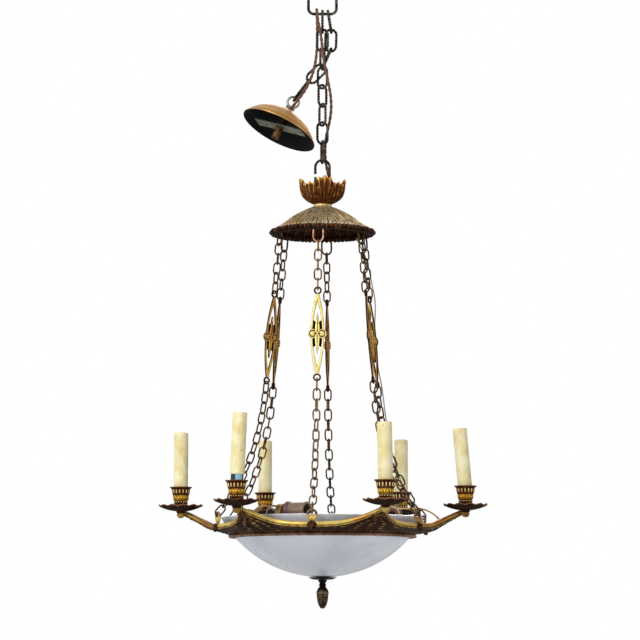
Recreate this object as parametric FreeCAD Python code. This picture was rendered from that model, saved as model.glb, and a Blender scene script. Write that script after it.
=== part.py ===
import FreeCAD, Part
import math
import os

# Six-light chandelier with an alabaster bowl, hung by its chain from a ceiling hook.
# Millimetres, +Z up, origin where the hook meets the ceiling.
# +X goes to the viewer's right, -Y towards the viewer.

V = FreeCAD.Vector
UP = V(0, 0, 1)
RIGHT = V(1, 0, 0)
BACK = V(0, 1, 0)

# Clearances
PLAY = 0.3              # between pieces that move against each other
SEAT = 0.15             # between pieces that are seated or screwed together

# Ceiling hook
HOOK_WIRE = 6.0
HOOK_BEND = 15.0        # radius to the middle of the wire
HOOK_NECK = 18.0        # ceiling to the middle of the wire at the top of the bend
HOOK_MOUTH = 60.0       # degrees left open in the bend
HOOK_COLLAR = 16.0
HOOK_COLLAR_THICK = 3.0
SHANK_LENGTH = 25.0

# Heavy chain
TOP_LINK_WIRE = 5.0
TOP_LINK_WIDTH = 44.0   # inside
TOP_LINK_DROP = 40.0    # inside
TOP_LINK_CORNER = 10.0
CHAIN_WIRE = 4.0
CHAIN_WIDTH = 24.0      # outside
CHAIN_PITCH = 33.0
MAIN_LINKS = 8
MAIN_TURN = 101.25      # degrees from each link to the next
STRAND_OFFSET = 10.0    # second strand beside the first on the top link
CANOPY_LEANS = ((9, 14), (-2, 18), (-24, 14), (-45, 2))  # each link's lean to the right and to the back
CANOPY_LAST_LEAN = (-37, -4)
CANOPY_LAST_PITCH = 42.0
CANOPY_LINK_TURN = 90.0

# Crown link and crown
CROWN_LINK_WIRE = 4.2
CROWN_LINK_WIDTH = 29.0
CROWN_LINK_PITCH = 46.0
CROWN_LINK_GAP = 6.0
CROWN_LINK_GAP_DROP = 28.0
EYE_WIRE = 4.5
EYE_INSIDE = 8.0        # inner radius
EYE_COLLAR = 23.0
EYE_COLLAR_HIGH = 9.0
CROWN_ROD = 10.0
CROWN_ROD_BORE = 6.0
CROWN_CUP_HIGH = 47.0
CROWN_CUP_TOP = 40.0    # radius
CROWN_CUP_FOOT = 15.0   # radius
CROWN_CUP_WALL = 2.5
CROWN_SHOULDER = (0.76, 0.32)   # where the cup's side bends, as shares of its spread and its height
CROWN_LEAVES = 8
NECK_RING = 33.0
NECK_RING_HIGH = 6.0
CORONA_RADIUS = 92.0
CORONA_HIGH = 44.0
CORONA_BULGE = 4.0      # of its upper face above a straight cone
CORONA_WALL = 2.6
CORONA_LIP = 3.0
CORONA_SCALLOPS = 24
SCALLOP_RADIUS = 4.0
SCALLOP_OUT = 2.4       # middle of a scallop outside the rim
CROWN_NUT = 17.0
CROWN_NUT_HIGH = 6.0

# Suspension chains
CHAINS = 6
LUG_TURN = -5.15        # degrees from the viewer's side to the first lug, towards the right
HANG_RADIUS = 80.0
HANG_ANGLE = 5.5        # degrees from the vertical, outwards
STAPLE_WIRE = 2.4
STAPLE_INSIDE = 2.9
STAPLE_LEG = 1.0        # straight part of its shorter leg
LINK_WIRE = 2.3
JUMP_RING_PITCH = 24.5
JUMP_RING_WIDTH = 20.0
LINK_WIDTH = 14.5
UPPER_LINKS = 5
UPPER_PITCH = 16.8
LOWER_LINKS = 14
LOWER_END_ANGLE = 45.0  # degrees from the vertical where a chain reaches its lug
BAR_LENGTH = 150.0      # between eye centres
BAR_WIDTH = 31.6        # across the lobes
BAR_THICK = 3.0
BAR_NAVETTE = 23.2      # width of the pierced frame
BAR_FRAME = 3.6         # width of the frame's strip
BAR_EYE = 6.2           # radius of the end discs
BAR_EYE_HOLE = 3.8      # radius
BAR_SLACK = 0.8         # from a link's wire to the edge of a bar's eye
BAR_SPEAR = 3.2         # half width
BAR_SPEAR_REACH = 36.0  # from the middle to a tip
BAR_LOBE = 6.0          # radius
BAR_WEB = 24.0          # from the middle to an end of the thin web behind the spears
BAR_WEB_THICK = 1.2
BAR_EYELET = 1.4        # radius of the hole in the middle
BAR_TWISTS = (-5, -22, 0, -80, -20, 71)

# Star frame
ARMS = 6
ARM_TURN = 24.85        # degrees from the viewer's side to the first arm, towards the right
RAIL_DROP = 511.0       # rim of the corona to the middle of the rail beside a lug
RAIL_RISE = 26.0        # from beside a lug to an arm's tip
RAIL_VALLEY = 198.0
RAIL_SWEEP = 4.5        # power of the rail's way out to a tip
RAIL_LIFT = 3.3         # power of its rise
PANEL_STEPS = 8         # sections from an arm's middle to a lug
PANEL_CROWDING = 1.5    # power that crowds them towards the tip
RAIL_HIGH = 9.0
RAIL_DEEP = 8.0
WEB_THICK = 4.5
PANEL_GAP = 0.3
BASE_OUTER = 166.0
BASE_FOOT = 158.0
BASE_BEAD = 161.5
BASE_HIGH = 12.0
BASE_DROP = 17.0        # middle of the rail beside a lug to the underside of the base ring
ARM_RADIUS = 245.0
TIP_INSET = 5.0         # middle of a boss to the tip of the rail
RAIL_TIP = ARM_RADIUS - TIP_INSET
BOSS_RADIUS = 8.5
BOSS_NECK = 7.3
BOSS_ABOVE = 5.0
BOSS_BELOW = 9.0
LUG_WIDTH = 22.0
LUG_HIGH = 21.0
LUG_FOOT = 12.0
LUG_THICK = 4.0
LUG_HOLE = 4.2          # radius
LUG_HOLE_UP = 11.5
LUG_SLACK = 0.25        # from a link's wire to the edge of a lug's hole

# Candle lights
NIPPLE = 9.7
NIPPLE_BORE = 6.0
NIPPLE_IN_ARM = 11.0
NIPPLE_IN_SOCKET = 7.0
PAN_RADIUS = 38.0
PAN_DEEP = 10.0
PAN_WALL = 2.0
PAN_FLOOR = 10.0        # radius
PAN_LEAVES = 12
CUP_HIGH = 38.5
CUP_WALL = 1.6
CUP_FLOOR = 3.0
CUP_FOOT = 9.0          # radius
CUP_MOUTH = 16.3        # radius
CUP_LIP = 1.2
CUP_FLARE = 1.2         # power of the cup's widening
SOCKET = 21.0
SOCKET_UP = 24.0        # foot of the cup to the foot of the socket
SOCKET_LENGTH = 68.0
SOCKET_BORE = 12.0
SOCKET_DEPTH = 22.0
SOCKET_THREAD_PLAY = 0.35
COVER = 25.0
COVER_INSIDE = 21.6
COVER_LENGTH = 102.0
COVER_IN_CUP = 8.0
COVER_LEAN_LIFT = 0.9   # rise of a cover's foot for each degree of lean
COVER_LEANS = (-1.0, -5.0, 0.0, 0.0, 0.0, 2.5)   # degrees to the viewer's right, arm by arm
COVER_RAISED = (0.0, 0.0, 0.0, 0.0, 0.0, 16.0)

# Bowl and finial
BOWL_SPHERE = 200.0
BOWL_WALL = 9.0
BOWL_DEEP = 102.0
BOWL_BELOW_BASE = 66.7  # base ring's underside to the bottom of the bowl
BOWL_HOLE = 5.0         # radius
FINIAL_PLATE = 24.5     # radius
FINIAL_PLATE_HIGH = 4.0
FINIAL_STUD = 4.5       # radius
FINIAL_NECK = 12.0
FINIAL_NECK_RADIUS = 5.5
FINIAL_ACORN = 10.6     # radius
FINIAL_ACORN_HIGH = 37.5
FINIAL_WASHER = 14.0
FINIAL_WASHER_HIGH = 2.5
FINIAL_NUT = 14.0
FINIAL_NUT_HIGH = 6.0

# Lampholders in the mouth of the bowl
LAMPS = 3
LAMP_ARMS = (5, 1, 3)   # arms that carry a bracket
LAMP_RADIUS = 118.0     # distance of the holder's middle from the axis of the bowl
LAMP_ABOVE_RIM = 5.0
LAMP_CAP = 11.0         # radius of the cap's neck
LAMP_CAP_LONG = 17.0
LAMP_BEAD = 18.5
LAMP_BEAD_LONG = 10.0
LAMP_SHELL = 16.0
LAMP_SHELL_LONG = 30.0
LAMP_BORE = 13.3
LAMP_LIP = 1.0
LAMP_LIP_LONG = 2.0
LAMP_CAP_EDGE = 1.0
LAMP_BUSH = 5.0
LAMP_BUSH_LONG = 6.0
BRACKET_WIDE = 10.0
BRACKET_THICK = 2.5
BRACKET_RING = 3.0      # wall of the ring round the cap
BRACKET_FOOT = 203.0    # where it stands on the arm's web
BRACKET_KNEE = 160.0    # where it runs level
BRACKET_TOE = 3.0       # width of its foot
BRACKET_ABOVE_RIM = 13.5

# Loose canopy
CANOPY_RADIUS = 68.5
CANOPY_DEEP = 36.0
CANOPY_WALL = 1.6
CANOPY_FLAT = 1.0       # flat top of the dome past the collar
CANOPY_ROLL = 26.0      # degrees to the viewer's right
CANOPY_PITCH = 10.0     # degrees, open side towards the viewer
CANOPY_LOOP_WIRE = 4.0
CANOPY_LOOP_INSIDE = 8.0
CANOPY_COLLAR = 8.0     # radius
CANOPY_COLLAR_HIGH = 12.0
STEM = 7.0              # radius
STEM_BORE = 4.0
STEM_PAST_RIM = 16.0
CANOPY_NUT = 20.0
CANOPY_NUT_HIGH = 5.0
STRAP_LONG = 100.0
STRAP_WIDE = 22.0
STRAP_THICK = 2.0
STRAP_HOLES = 88.9
STRAP_HOLE = 2.4
STRAP_FROM_RIM = 5.0    # above the rim's plane
STRAP_TURN = 60.0       # degrees about the stem

# Cords
CORD = 5.5
WIRE = 2.2


# Outlines and turned pieces
def outline_edges(points):
    """Edges through (x, z) points; a triple of points in the list is an arc through its middle one."""
    edges = []
    at = None
    for item in points:
        if isinstance(item[0], tuple):
            through, end = (V(x, 0, z) for x, z in item)
            edges.append(Part.Arc(at, through, end).toShape())
        else:
            end = V(item[0], 0, item[1])
            if at is not None:
                edges.append(Part.makeLine(at, end))
        at = end
    first = points[0]
    start = V(first[0], 0, first[1])
    if (at - start).Length > 1e-7:
        edges.append(Part.makeLine(at, start))
    return edges


def plate_face(points):
    return Part.Face(Part.Wire(outline_edges(points)))


def turned(points):
    return plate_face(points).revolve(V(0, 0, 0), UP, 360)


def rod(radius, low, high):
    return Part.makeCylinder(radius, high - low, V(0, 0, low))


def tube(radius, bore, low, high):
    return rod(radius, low, high).cut(rod(bore, low, high))


def hexagon_nut(across_flats, bore, low, high):
    corner = across_flats / math.sqrt(3)
    angles = [k * math.pi / 3 for k in range(7)]
    corners = [V(corner * math.cos(a), corner * math.sin(a), low) for a in angles]
    prism = Part.Face(Part.makePolygon(corners)).extrude(V(0, 0, high - low))
    return prism.cut(rod(bore, low, high))


def ring(radius, wire, axis):
    return Part.makeTorus(radius, wire / 2, V(0, 0, 0), axis)


# Placing
def axes(origin, x_axis, z_axis):
    x = V(x_axis).normalize()
    z = V(z_axis).normalize()
    y = z.cross(x)
    rows = (x.x, y.x, z.x, origin.x, x.y, y.y, z.y, origin.y, x.z, y.z, z.z, origin.z)
    return FreeCAD.Matrix(*rows, 0, 0, 0, 1)


def placed(shape, matrix):
    moved = shape.copy()
    moved.Placement = FreeCAD.Placement(matrix).multiply(moved.Placement)
    return moved


def outwards(azimuth):
    """Horizontal unit vector at an azimuth counted from the viewer's side towards the right."""
    angle = math.radians(azimuth)
    return V(math.sin(angle), -math.cos(angle), 0)


def sideways(azimuth):
    angle = math.radians(azimuth)
    return V(math.cos(angle), math.sin(angle), 0)


def at_azimuth(azimuth, radius=0.0, z=0.0):
    """Frame with +X outwards at the azimuth and +Z up."""
    return axes(outwards(azimuth) * radius + V(0, 0, z), outwards(azimuth), UP)


def lean_to_right(degrees):
    angle = math.radians(degrees)
    return V(math.sin(angle), 0, math.cos(angle))


# Chain links
def pipe(edges, wire):
    path = Part.Wire(edges)
    start = edges[0].valueAt(edges[0].FirstParameter)
    along = edges[0].tangentAt(edges[0].FirstParameter)
    section = Part.Wire(Part.makeCircle(wire / 2, start, along))
    return path.makePipeShell([section], True, False)


def oval_link(pitch, width, wire):
    """A link in the XZ plane that hangs from the origin and carries the next one at -pitch."""
    bend = (width - wire) / 2
    reach = (wire + PLAY) / 2
    top = reach - bend
    bottom = -pitch - reach + bend
    edges = [
        Part.makeLine(V(bend, 0, bottom), V(bend, 0, top)),
        Part.Arc(V(bend, 0, top), V(0, 0, top + bend), V(-bend, 0, top)).toShape(),
        Part.makeLine(V(-bend, 0, top), V(-bend, 0, bottom)),
        Part.Arc(V(-bend, 0, bottom), V(0, 0, bottom - bend), V(bend, 0, bottom)).toShape(),
    ]
    return pipe(edges, wire)


def link_matrix(start, end, across, turn):
    """Frame of a link from start to end; its width lies along across, turned about the link's length."""
    down = (end - start).normalize()
    flat = across - down * across.dot(down)
    flat.normalize()
    normal = down.cross(flat)
    angle = math.radians(turn)
    return axes(start, flat * math.cos(angle) + normal * math.sin(angle), down * -1)


def group(solids):
    return Part.makeCompound(solids)


# Ceiling hook and heavy chain
HOOK_WIRE_Z = -HOOK_NECK - 2 * HOOK_BEND
HOOK_HANG = V(0, 0, HOOK_WIRE_Z + HOOK_WIRE / 2)
TOP_LINK_LOW = HOOK_HANG - UP * TOP_LINK_DROP
CROWN_LINK_HANG = TOP_LINK_LOW - UP * (MAIN_LINKS * CHAIN_PITCH)
CROWN_HANG = CROWN_LINK_HANG - UP * CROWN_LINK_PITCH


def ceiling_hook():
    bend_turn = 360 - HOOK_MOUTH
    bend = Part.makeTorus(HOOK_BEND, HOOK_WIRE / 2, V(0, 0, 0), UP, 0, 360, bend_turn)
    upright = axes(V(0, 0, -HOOK_NECK - HOOK_BEND), UP, RIGHT)
    neck = rod(HOOK_WIRE / 2, -HOOK_NECK, SHANK_LENGTH)
    collar = rod(HOOK_COLLAR / 2, -HOOK_COLLAR_THICK, 0)
    return placed(bend, upright).fuse([neck, collar])


def top_link():
    half = (TOP_LINK_WIDTH + TOP_LINK_WIRE) / 2
    high = HOOK_HANG.z + TOP_LINK_WIRE / 2 + PLAY
    low = TOP_LINK_LOW.z - (TOP_LINK_WIRE + PLAY) / 2
    corner = TOP_LINK_CORNER
    inset = corner * (1 - math.sqrt(0.5))
    edges = []
    at = V(half, 0, low + corner)
    for x_sign, z_from, z_to in ((1, low, high), (-1, high, low)):
        step = math.copysign(corner, z_to - z_from)
        rise_end = V(x_sign * half, 0, z_to - step)
        across = V(x_sign * (half - corner), 0, z_to)
        back = V(-x_sign * (half - corner), 0, z_to)
        down = V(-x_sign * half, 0, z_to - step)
        bend_in = V(x_sign * (half - inset), 0, z_to - math.copysign(inset, step))
        bend_out = V(-x_sign * (half - inset), 0, z_to - math.copysign(inset, step))
        edges.append(Part.makeLine(at, rise_end))
        edges.append(Part.Arc(rise_end, bend_in, across).toShape())
        edges.append(Part.makeLine(across, back))
        edges.append(Part.Arc(back, bend_out, down).toShape())
        at = down
    return pipe(edges, TOP_LINK_WIRE)


def main_chain():
    link = oval_link(CHAIN_PITCH, CHAIN_WIDTH, CHAIN_WIRE)
    links = []
    for k in range(MAIN_LINKS):
        start = TOP_LINK_LOW - UP * (k * CHAIN_PITCH)
        end = start - UP * CHAIN_PITCH
        links.append(placed(link, link_matrix(start, end, BACK, k * MAIN_TURN)))
    return group(links)


def leaning_step(lean, length):
    right = math.sin(math.radians(lean[0]))
    back = math.sin(math.radians(lean[1]))
    return V(right, back, -math.sqrt(1 - right * right - back * back)) * length


def canopy_chain_points():
    points = [TOP_LINK_LOW + RIGHT * STRAND_OFFSET + UP * (PLAY / 2)]
    for lean in CANOPY_LEANS:
        points.append(points[-1] + leaning_step(lean, CHAIN_PITCH))
    points.append(points[-1] + leaning_step(CANOPY_LAST_LEAN, CANOPY_LAST_PITCH))
    return points


def canopy_chain():
    points = canopy_chain_points()
    links = []
    for k in range(len(points) - 1):
        length = (points[k + 1] - points[k]).Length
        link = oval_link(length, CHAIN_WIDTH, CHAIN_WIRE)
        links.append(placed(link, link_matrix(points[k], points[k + 1], BACK, k * CANOPY_LINK_TURN)))
    return group(links)


def crown_link():
    whole = oval_link(CROWN_LINK_PITCH, CROWN_LINK_WIDTH, CROWN_LINK_WIRE)
    side = CROWN_LINK_WIDTH / 2
    gap = Part.makeBox(side, 2 * CROWN_LINK_WIRE, CROWN_LINK_GAP)
    gap.translate(V(-side - CROWN_LINK_WIRE, -CROWN_LINK_WIRE, -CROWN_LINK_GAP_DROP))
    return placed(whole.cut(gap), axes(CROWN_LINK_HANG, RIGHT, UP))


# Crown
CROWN_EYE_Z = CROWN_HANG.z - EYE_INSIDE + PLAY / 2
COLLAR_TOP = CROWN_EYE_Z - EYE_INSIDE - EYE_WIRE / 2
COLLAR_LOW = COLLAR_TOP - EYE_COLLAR_HIGH
CUP_FLOOR_TOP = COLLAR_LOW
CROWN_CUP_LOW = CUP_FLOOR_TOP - CROWN_CUP_WALL
NECK_RING_LOW = CROWN_CUP_LOW - NECK_RING_HIGH
CORONA_TOP = NECK_RING_LOW
CORONA_RIM = CORONA_TOP - CORONA_HIGH
ROD_HOLE = CROWN_ROD / 2 + SEAT


def crown_eye():
    eye = placed(ring(EYE_INSIDE + EYE_WIRE / 2, EYE_WIRE, RIGHT), axes(V(0, 0, CROWN_EYE_Z), RIGHT, UP))
    collar = rod(EYE_COLLAR / 2, COLLAR_LOW, COLLAR_TOP)
    low = CORONA_TOP - CORONA_WALL - CROWN_NUT_HIGH - 2 * EYE_WIRE
    shank = rod(CROWN_ROD / 2, low, COLLAR_LOW)
    return eye.fuse([collar, shank]).cut(rod(CROWN_ROD_BORE / 2, low, COLLAR_LOW))


def crown_cup():
    low = CROWN_CUP_LOW
    high = low + CROWN_CUP_HIGH
    spread = CROWN_CUP_TOP - CROWN_CUP_FOOT
    wall = CROWN_CUP_WALL
    side = math.hypot(spread, CROWN_CUP_HIGH)
    outer = (CROWN_CUP_FOOT + CROWN_SHOULDER[0] * spread, low + CROWN_SHOULDER[1] * CROWN_CUP_HIGH)
    inner = (outer[0] - wall * CROWN_CUP_HIGH / side, outer[1] + wall * spread / side)
    profile = [
        (ROD_HOLE, low),
        (CROWN_CUP_FOOT, low),
        (outer, (CROWN_CUP_TOP, high)),
        (CROWN_CUP_TOP - wall, high),
        (inner, (CROWN_CUP_FOOT - wall, low + wall)),
        (ROD_HOLE, low + wall),
    ]
    cup = turned(profile)
    notches = []
    for k in range(CROWN_LEAVES):
        corners = [(0, high - CROWN_CUP_HIGH / 3), (-wall * 2, high + wall), (wall * 2, high + wall)]
        notch = plate_face(corners)
        solid = notch.extrude(V(0, CROWN_CUP_TOP * 2, 0))
        solid.rotate(V(0, 0, 0), UP, 360 / CROWN_LEAVES * (k + 0.5))
        notches.append(solid)
    return cup.cut(notches)


def neck_ring():
    outer = NECK_RING / 2
    bulge = NECK_RING_HIGH / 2
    profile = [
        (ROD_HOLE, NECK_RING_LOW),
        (outer - bulge, NECK_RING_LOW),
        ((outer, NECK_RING_LOW + bulge), (outer - bulge, CROWN_CUP_LOW)),
        (ROD_HOLE, CROWN_CUP_LOW),
    ]
    return turned(profile)


CORONA_SPREAD = CORONA_RADIUS - NECK_RING / 2
CORONA_SLOPE = math.hypot(CORONA_SPREAD, CORONA_HIGH)
CORONA_DOME = (CORONA_SLOPE ** 2 / 4 + CORONA_BULGE ** 2) / 2 / CORONA_BULGE


def on_corona_slope(rise):
    """Radius and height of the point that stands above the middle of the corona's straight slope."""
    radius = NECK_RING / 2 + CORONA_SPREAD / 2 + rise * CORONA_HIGH / CORONA_SLOPE
    return radius, CORONA_TOP - CORONA_HIGH / 2 + rise * CORONA_SPREAD / CORONA_SLOPE


def corona_under(radius):
    """Height of the corona's underside at a radius."""
    middle = on_corona_slope(CORONA_BULGE - CORONA_DOME)
    return middle[1] + math.sqrt(CORONA_DOME ** 2 - (radius - middle[0]) ** 2) - CORONA_WALL


def corona():
    inner = NECK_RING / 2
    flat = CORONA_TOP - CORONA_WALL
    crest = on_corona_slope(CORONA_BULGE)
    profile = [
        (ROD_HOLE, CORONA_TOP),
        (inner, CORONA_TOP),
        (crest, (CORONA_RADIUS, CORONA_RIM)),
        (CORONA_RADIUS, CORONA_RIM - CORONA_LIP),
        (CORONA_RADIUS - CORONA_WALL, CORONA_RIM - CORONA_LIP),
        (CORONA_RADIUS - CORONA_WALL, corona_under(CORONA_RADIUS - CORONA_WALL)),
        ((crest[0], crest[1] - CORONA_WALL), (inner, flat)),
        (ROD_HOLE, flat),
    ]
    cuts = []
    for k in range(CORONA_SCALLOPS):
        middle = outwards(360 / CORONA_SCALLOPS * k) * (CORONA_RADIUS + SCALLOP_OUT)
        low = CORONA_RIM - 2 * CORONA_LIP
        cuts.append(Part.makeCylinder(SCALLOP_RADIUS, CORONA_HIGH / 2, V(middle.x, middle.y, low)))
    return turned(profile).cut(cuts)


def crown_nut():
    high = CORONA_TOP - CORONA_WALL
    return hexagon_nut(CROWN_NUT, ROD_HOLE, high - CROWN_NUT_HIGH, high)


# Suspension chains
STAPLE_BEND = STAPLE_INSIDE + STAPLE_WIRE / 2
STAPLE_MIDDLE = STAPLE_INSIDE - PLAY / 2


def staple_leg_top(side):
    """Height of a staple's end under the corona, on its inner (-1) or outer (1) side."""
    return corona_under(HANG_RADIUS + side * STAPLE_BEND + STAPLE_WIRE / 2) - SEAT


HANG_Z = staple_leg_top(1) - STAPLE_LEG - STAPLE_MIDDLE


def lug_azimuth(k):
    return LUG_TURN + 360 / CHAINS * k


def chain_staples():
    half_ring = Part.makeTorus(STAPLE_BEND, STAPLE_WIRE / 2, V(0, 0, 0), UP, 0, 360, 180)
    legs = []
    for side in (-1, 1):
        leg = rod(STAPLE_WIRE / 2, STAPLE_MIDDLE, staple_leg_top(side) - HANG_Z)
        leg.translate(V(side * STAPLE_BEND, 0, 0))
        legs.append(leg)
    staple = placed(half_ring, axes(V(0, 0, STAPLE_MIDDLE), RIGHT, BACK)).fuse(legs)
    return group([placed(staple, at_azimuth(lug_azimuth(k), HANG_RADIUS, HANG_Z)) for k in range(CHAINS)])


RAIL_Z = CORONA_RIM - RAIL_DROP


def rail_point(offset):
    """Outer radius and middle height of the rail at an angle from its arm."""
    share = 1 - abs(offset) / (180 / ARMS)
    radius = RAIL_VALLEY + (RAIL_TIP - RAIL_VALLEY) * share ** RAIL_SWEEP
    return radius, RAIL_Z + RAIL_RISE * share ** RAIL_LIFT


def rail_top(sideways_from_lug):
    """Height of the rail's top at a distance along it from a lug."""
    turn = math.degrees(sideways_from_lug / RAIL_VALLEY)
    return rail_point(180 / ARMS - turn)[1] + RAIL_HIGH / 2


LUG_LOW = rail_top(LUG_FOOT / 2) + SEAT
LUG_RADIUS = RAIL_VALLEY - RAIL_DEEP / 2
LUG_HANG = (LUG_RADIUS + LUG_THICK / 2, LUG_LOW + LUG_HOLE_UP + LUG_HOLE - LUG_SLACK)
BAR_REACH = BAR_LENGTH + 2 * (BAR_EYE_HOLE - BAR_SLACK)
UPPER_REACH = JUMP_RING_PITCH + UPPER_LINKS * UPPER_PITCH


def hanging(radius, z, distance):
    angle = math.radians(HANG_ANGLE)
    return (radius + distance * math.sin(angle), z - distance * math.cos(angle))


def lower_curve(share):
    """Point of the sagging lower chain in its own plane, from the bar at 0 to the lug at 1."""
    start = hanging(HANG_RADIUS, HANG_Z, UPPER_REACH + BAR_REACH)
    end = LUG_HANG
    slope_in = math.radians(HANG_ANGLE)
    slope_out = math.radians(LOWER_END_ANGLE)
    across = end[0] - start[0]
    fall = start[1] - end[1]
    first = (fall * math.sin(slope_out) - across * math.cos(slope_out)) / math.sin(slope_out - slope_in)
    knee = (start[0] + first * math.sin(slope_in), start[1] - first * math.cos(slope_in))
    parts = ((1 - share) ** 2, 2 * share * (1 - share), share ** 2)
    return tuple(sum(p * q[i] for p, q in zip(parts, (start, knee, end))) for i in (0, 1))


def even_shares(count, steps=400):
    """Shares of the lower curve that divide its length evenly."""
    points = [lower_curve(k / steps) for k in range(steps + 1)]
    lengths = [0.0]
    for a, b in zip(points, points[1:]):
        lengths.append(lengths[-1] + math.hypot(b[0] - a[0], b[1] - a[1]))
    shares = []
    for n in range(count + 1):
        wanted = lengths[-1] * n / count
        k = next(i for i in range(1, steps + 1) if lengths[i] >= wanted - 1e-9)
        part = (wanted - lengths[k - 1]) / (lengths[k] - lengths[k - 1])
        shares.append((k - 1 + part) / steps)
    return shares


def in_chain_plane(k, point):
    return outwards(lug_azimuth(k)) * point[0] + V(0, 0, point[1])


def upper_links(k):
    distances = [0.0] + [JUMP_RING_PITCH + n * UPPER_PITCH for n in range(UPPER_LINKS + 1)]
    points = [in_chain_plane(k, hanging(HANG_RADIUS, HANG_Z, d)) for d in distances]
    across = sideways(lug_azimuth(k))
    jump_ring = oval_link(JUMP_RING_PITCH, JUMP_RING_WIDTH, LINK_WIRE)
    link = oval_link(UPPER_PITCH, LINK_WIDTH, LINK_WIRE)
    turn = 90 + BAR_TWISTS[k] / UPPER_LINKS
    links = [placed(jump_ring, link_matrix(points[0], points[1], across, 0))]
    for n in range(1, UPPER_LINKS + 1):
        links.append(placed(link, link_matrix(points[n], points[n + 1], across, n * turn)))
    return links


def lower_links(k):
    points = [in_chain_plane(k, lower_curve(share)) for share in even_shares(LOWER_LINKS)]
    across = sideways(lug_azimuth(k))
    untwist = (BAR_TWISTS[k] + 90) / (LOWER_LINKS - 1)
    if BAR_TWISTS[k] > 0:
        untwist = (BAR_TWISTS[k] - 90) / (LOWER_LINKS - 1)
    links = []
    for n in range(LOWER_LINKS):
        length = (points[n + 1] - points[n]).Length
        turn = 90 + BAR_TWISTS[k] + n * (90 - untwist)
        link = oval_link(length, LINK_WIDTH, LINK_WIRE)
        links.append(placed(link, link_matrix(points[n], points[n + 1], across, turn)))
    return links


def lens(half_width, half_length):
    return [(0, half_length), ((half_width, 0), (0, -half_length)), ((-half_width, 0), (0, half_length))]


def disc(radius, x, z):
    return Part.Face(Part.Wire(Part.makeCircle(radius, V(x, 0, z), BACK)))


def across_bar(face, thick):
    """A bar's face made a plate, its middle in the XZ plane."""
    plate = face.extrude(V(0, thick, 0))
    plate.translate(V(0, -thick / 2, 0))
    return plate


def pierced_bar_plate():
    """Navette-shaped bar in the XZ plane, its eyes on the Z axis."""
    half = BAR_LENGTH / 2
    inner_width = BAR_NAVETTE / 2 - BAR_FRAME
    inner_length = half - 3 * BAR_EYE
    lobes = [disc(BAR_LOBE, side * (BAR_WIDTH / 2 - BAR_LOBE), 0) for side in (-1, 1)]
    spear = plate_face(lens(BAR_SPEAR, BAR_SPEAR_REACH))
    opening = plate_face(lens(inner_width, inner_length))
    outline = plate_face(lens(BAR_NAVETTE / 2, half + BAR_EYE_HOLE))
    outline = outline.fuse(lobes + [disc(BAR_EYE, 0, half), disc(BAR_EYE, 0, -half)])
    holes = [opening.cut(lobes + [spear]), disc(BAR_EYE_HOLE, 0, half), disc(BAR_EYE_HOLE, 0, -half)]
    low_corners = [(-inner_width, -BAR_WEB), (inner_width, -BAR_WEB)]
    middle = plate_face(low_corners + [(inner_width, BAR_WEB), (-inner_width, BAR_WEB)])
    web = across_bar(opening.common(middle), BAR_WEB_THICK)
    bar = across_bar(outline.cut(holes).removeSplitter(), BAR_THICK).fuse(web)
    return bar.cut(across_bar(disc(BAR_EYELET, 0, 0), BAR_THICK)).removeSplitter().Solids[0]


def bar_ends(k):
    """Middles of the two eyes of a pierced bar."""
    first = UPPER_REACH + BAR_EYE_HOLE - BAR_SLACK
    return [in_chain_plane(k, hanging(HANG_RADIUS, HANG_Z, first + d)) for d in (0, BAR_LENGTH)]


def pierced_bar(k):
    top, low = bar_ends(k)
    matrix = link_matrix(top, low, sideways(lug_azimuth(k)), BAR_TWISTS[k])
    plate = pierced_bar_plate()
    plate.translate(V(0, 0, -BAR_LENGTH / 2))
    return placed(plate, matrix)


# Star frame
BASE_LOW = RAIL_Z - BASE_DROP
BASE_TOP = BASE_LOW + BASE_HIGH
BOWL_LOW = BASE_LOW - BOWL_BELOW_BASE
BOWL_MIDDLE = BOWL_LOW + BOWL_SPHERE
BOWL_RIM = BOWL_LOW + BOWL_DEEP
BOSS_TOP = RAIL_Z + RAIL_RISE + BOSS_ABOVE
BOSS_LOW = RAIL_Z + RAIL_RISE - BOSS_BELOW


def sphere_radius_at(sphere, z):
    return math.sqrt(sphere ** 2 - (BOWL_MIDDLE - z) ** 2)


def base_ring():
    seat = BOWL_SPHERE + PLAY
    middle = (BASE_LOW + BASE_TOP) / 2
    bead = BASE_HIGH / 4
    profile = [
        (sphere_radius_at(seat, BASE_LOW), BASE_LOW),
        (BASE_FOOT, BASE_LOW),
        ((BASE_BEAD, BASE_LOW + bead), (BASE_FOOT + 1, middle)),
        (BASE_OUTER - 4, middle + bead),
        (BASE_OUTER, middle + bead),
        (BASE_OUTER, BASE_TOP),
        (sphere_radius_at(seat, BASE_TOP), BASE_TOP),
        ((sphere_radius_at(seat, middle), middle), (sphere_radius_at(seat, BASE_LOW), BASE_LOW)),
    ]
    return turned(profile)


def panel_section(offset):
    radius, middle = rail_point(offset)
    inner = BASE_OUTER + SEAT
    low = BASE_TOP - WEB_THICK
    half = RAIL_HIGH / 2
    corners = [
        (inner, low),
        (radius, middle - half),
        (radius, middle + half),
        (radius - RAIL_DEEP, middle + half),
        (radius - RAIL_DEEP, middle - half + WEB_THICK),
        (inner, BASE_TOP),
    ]
    angle = math.radians(offset)
    points = [V(r * math.cos(angle), r * math.sin(angle), z) for r, z in corners]
    return Part.makePolygon(points + points[:1])


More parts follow.
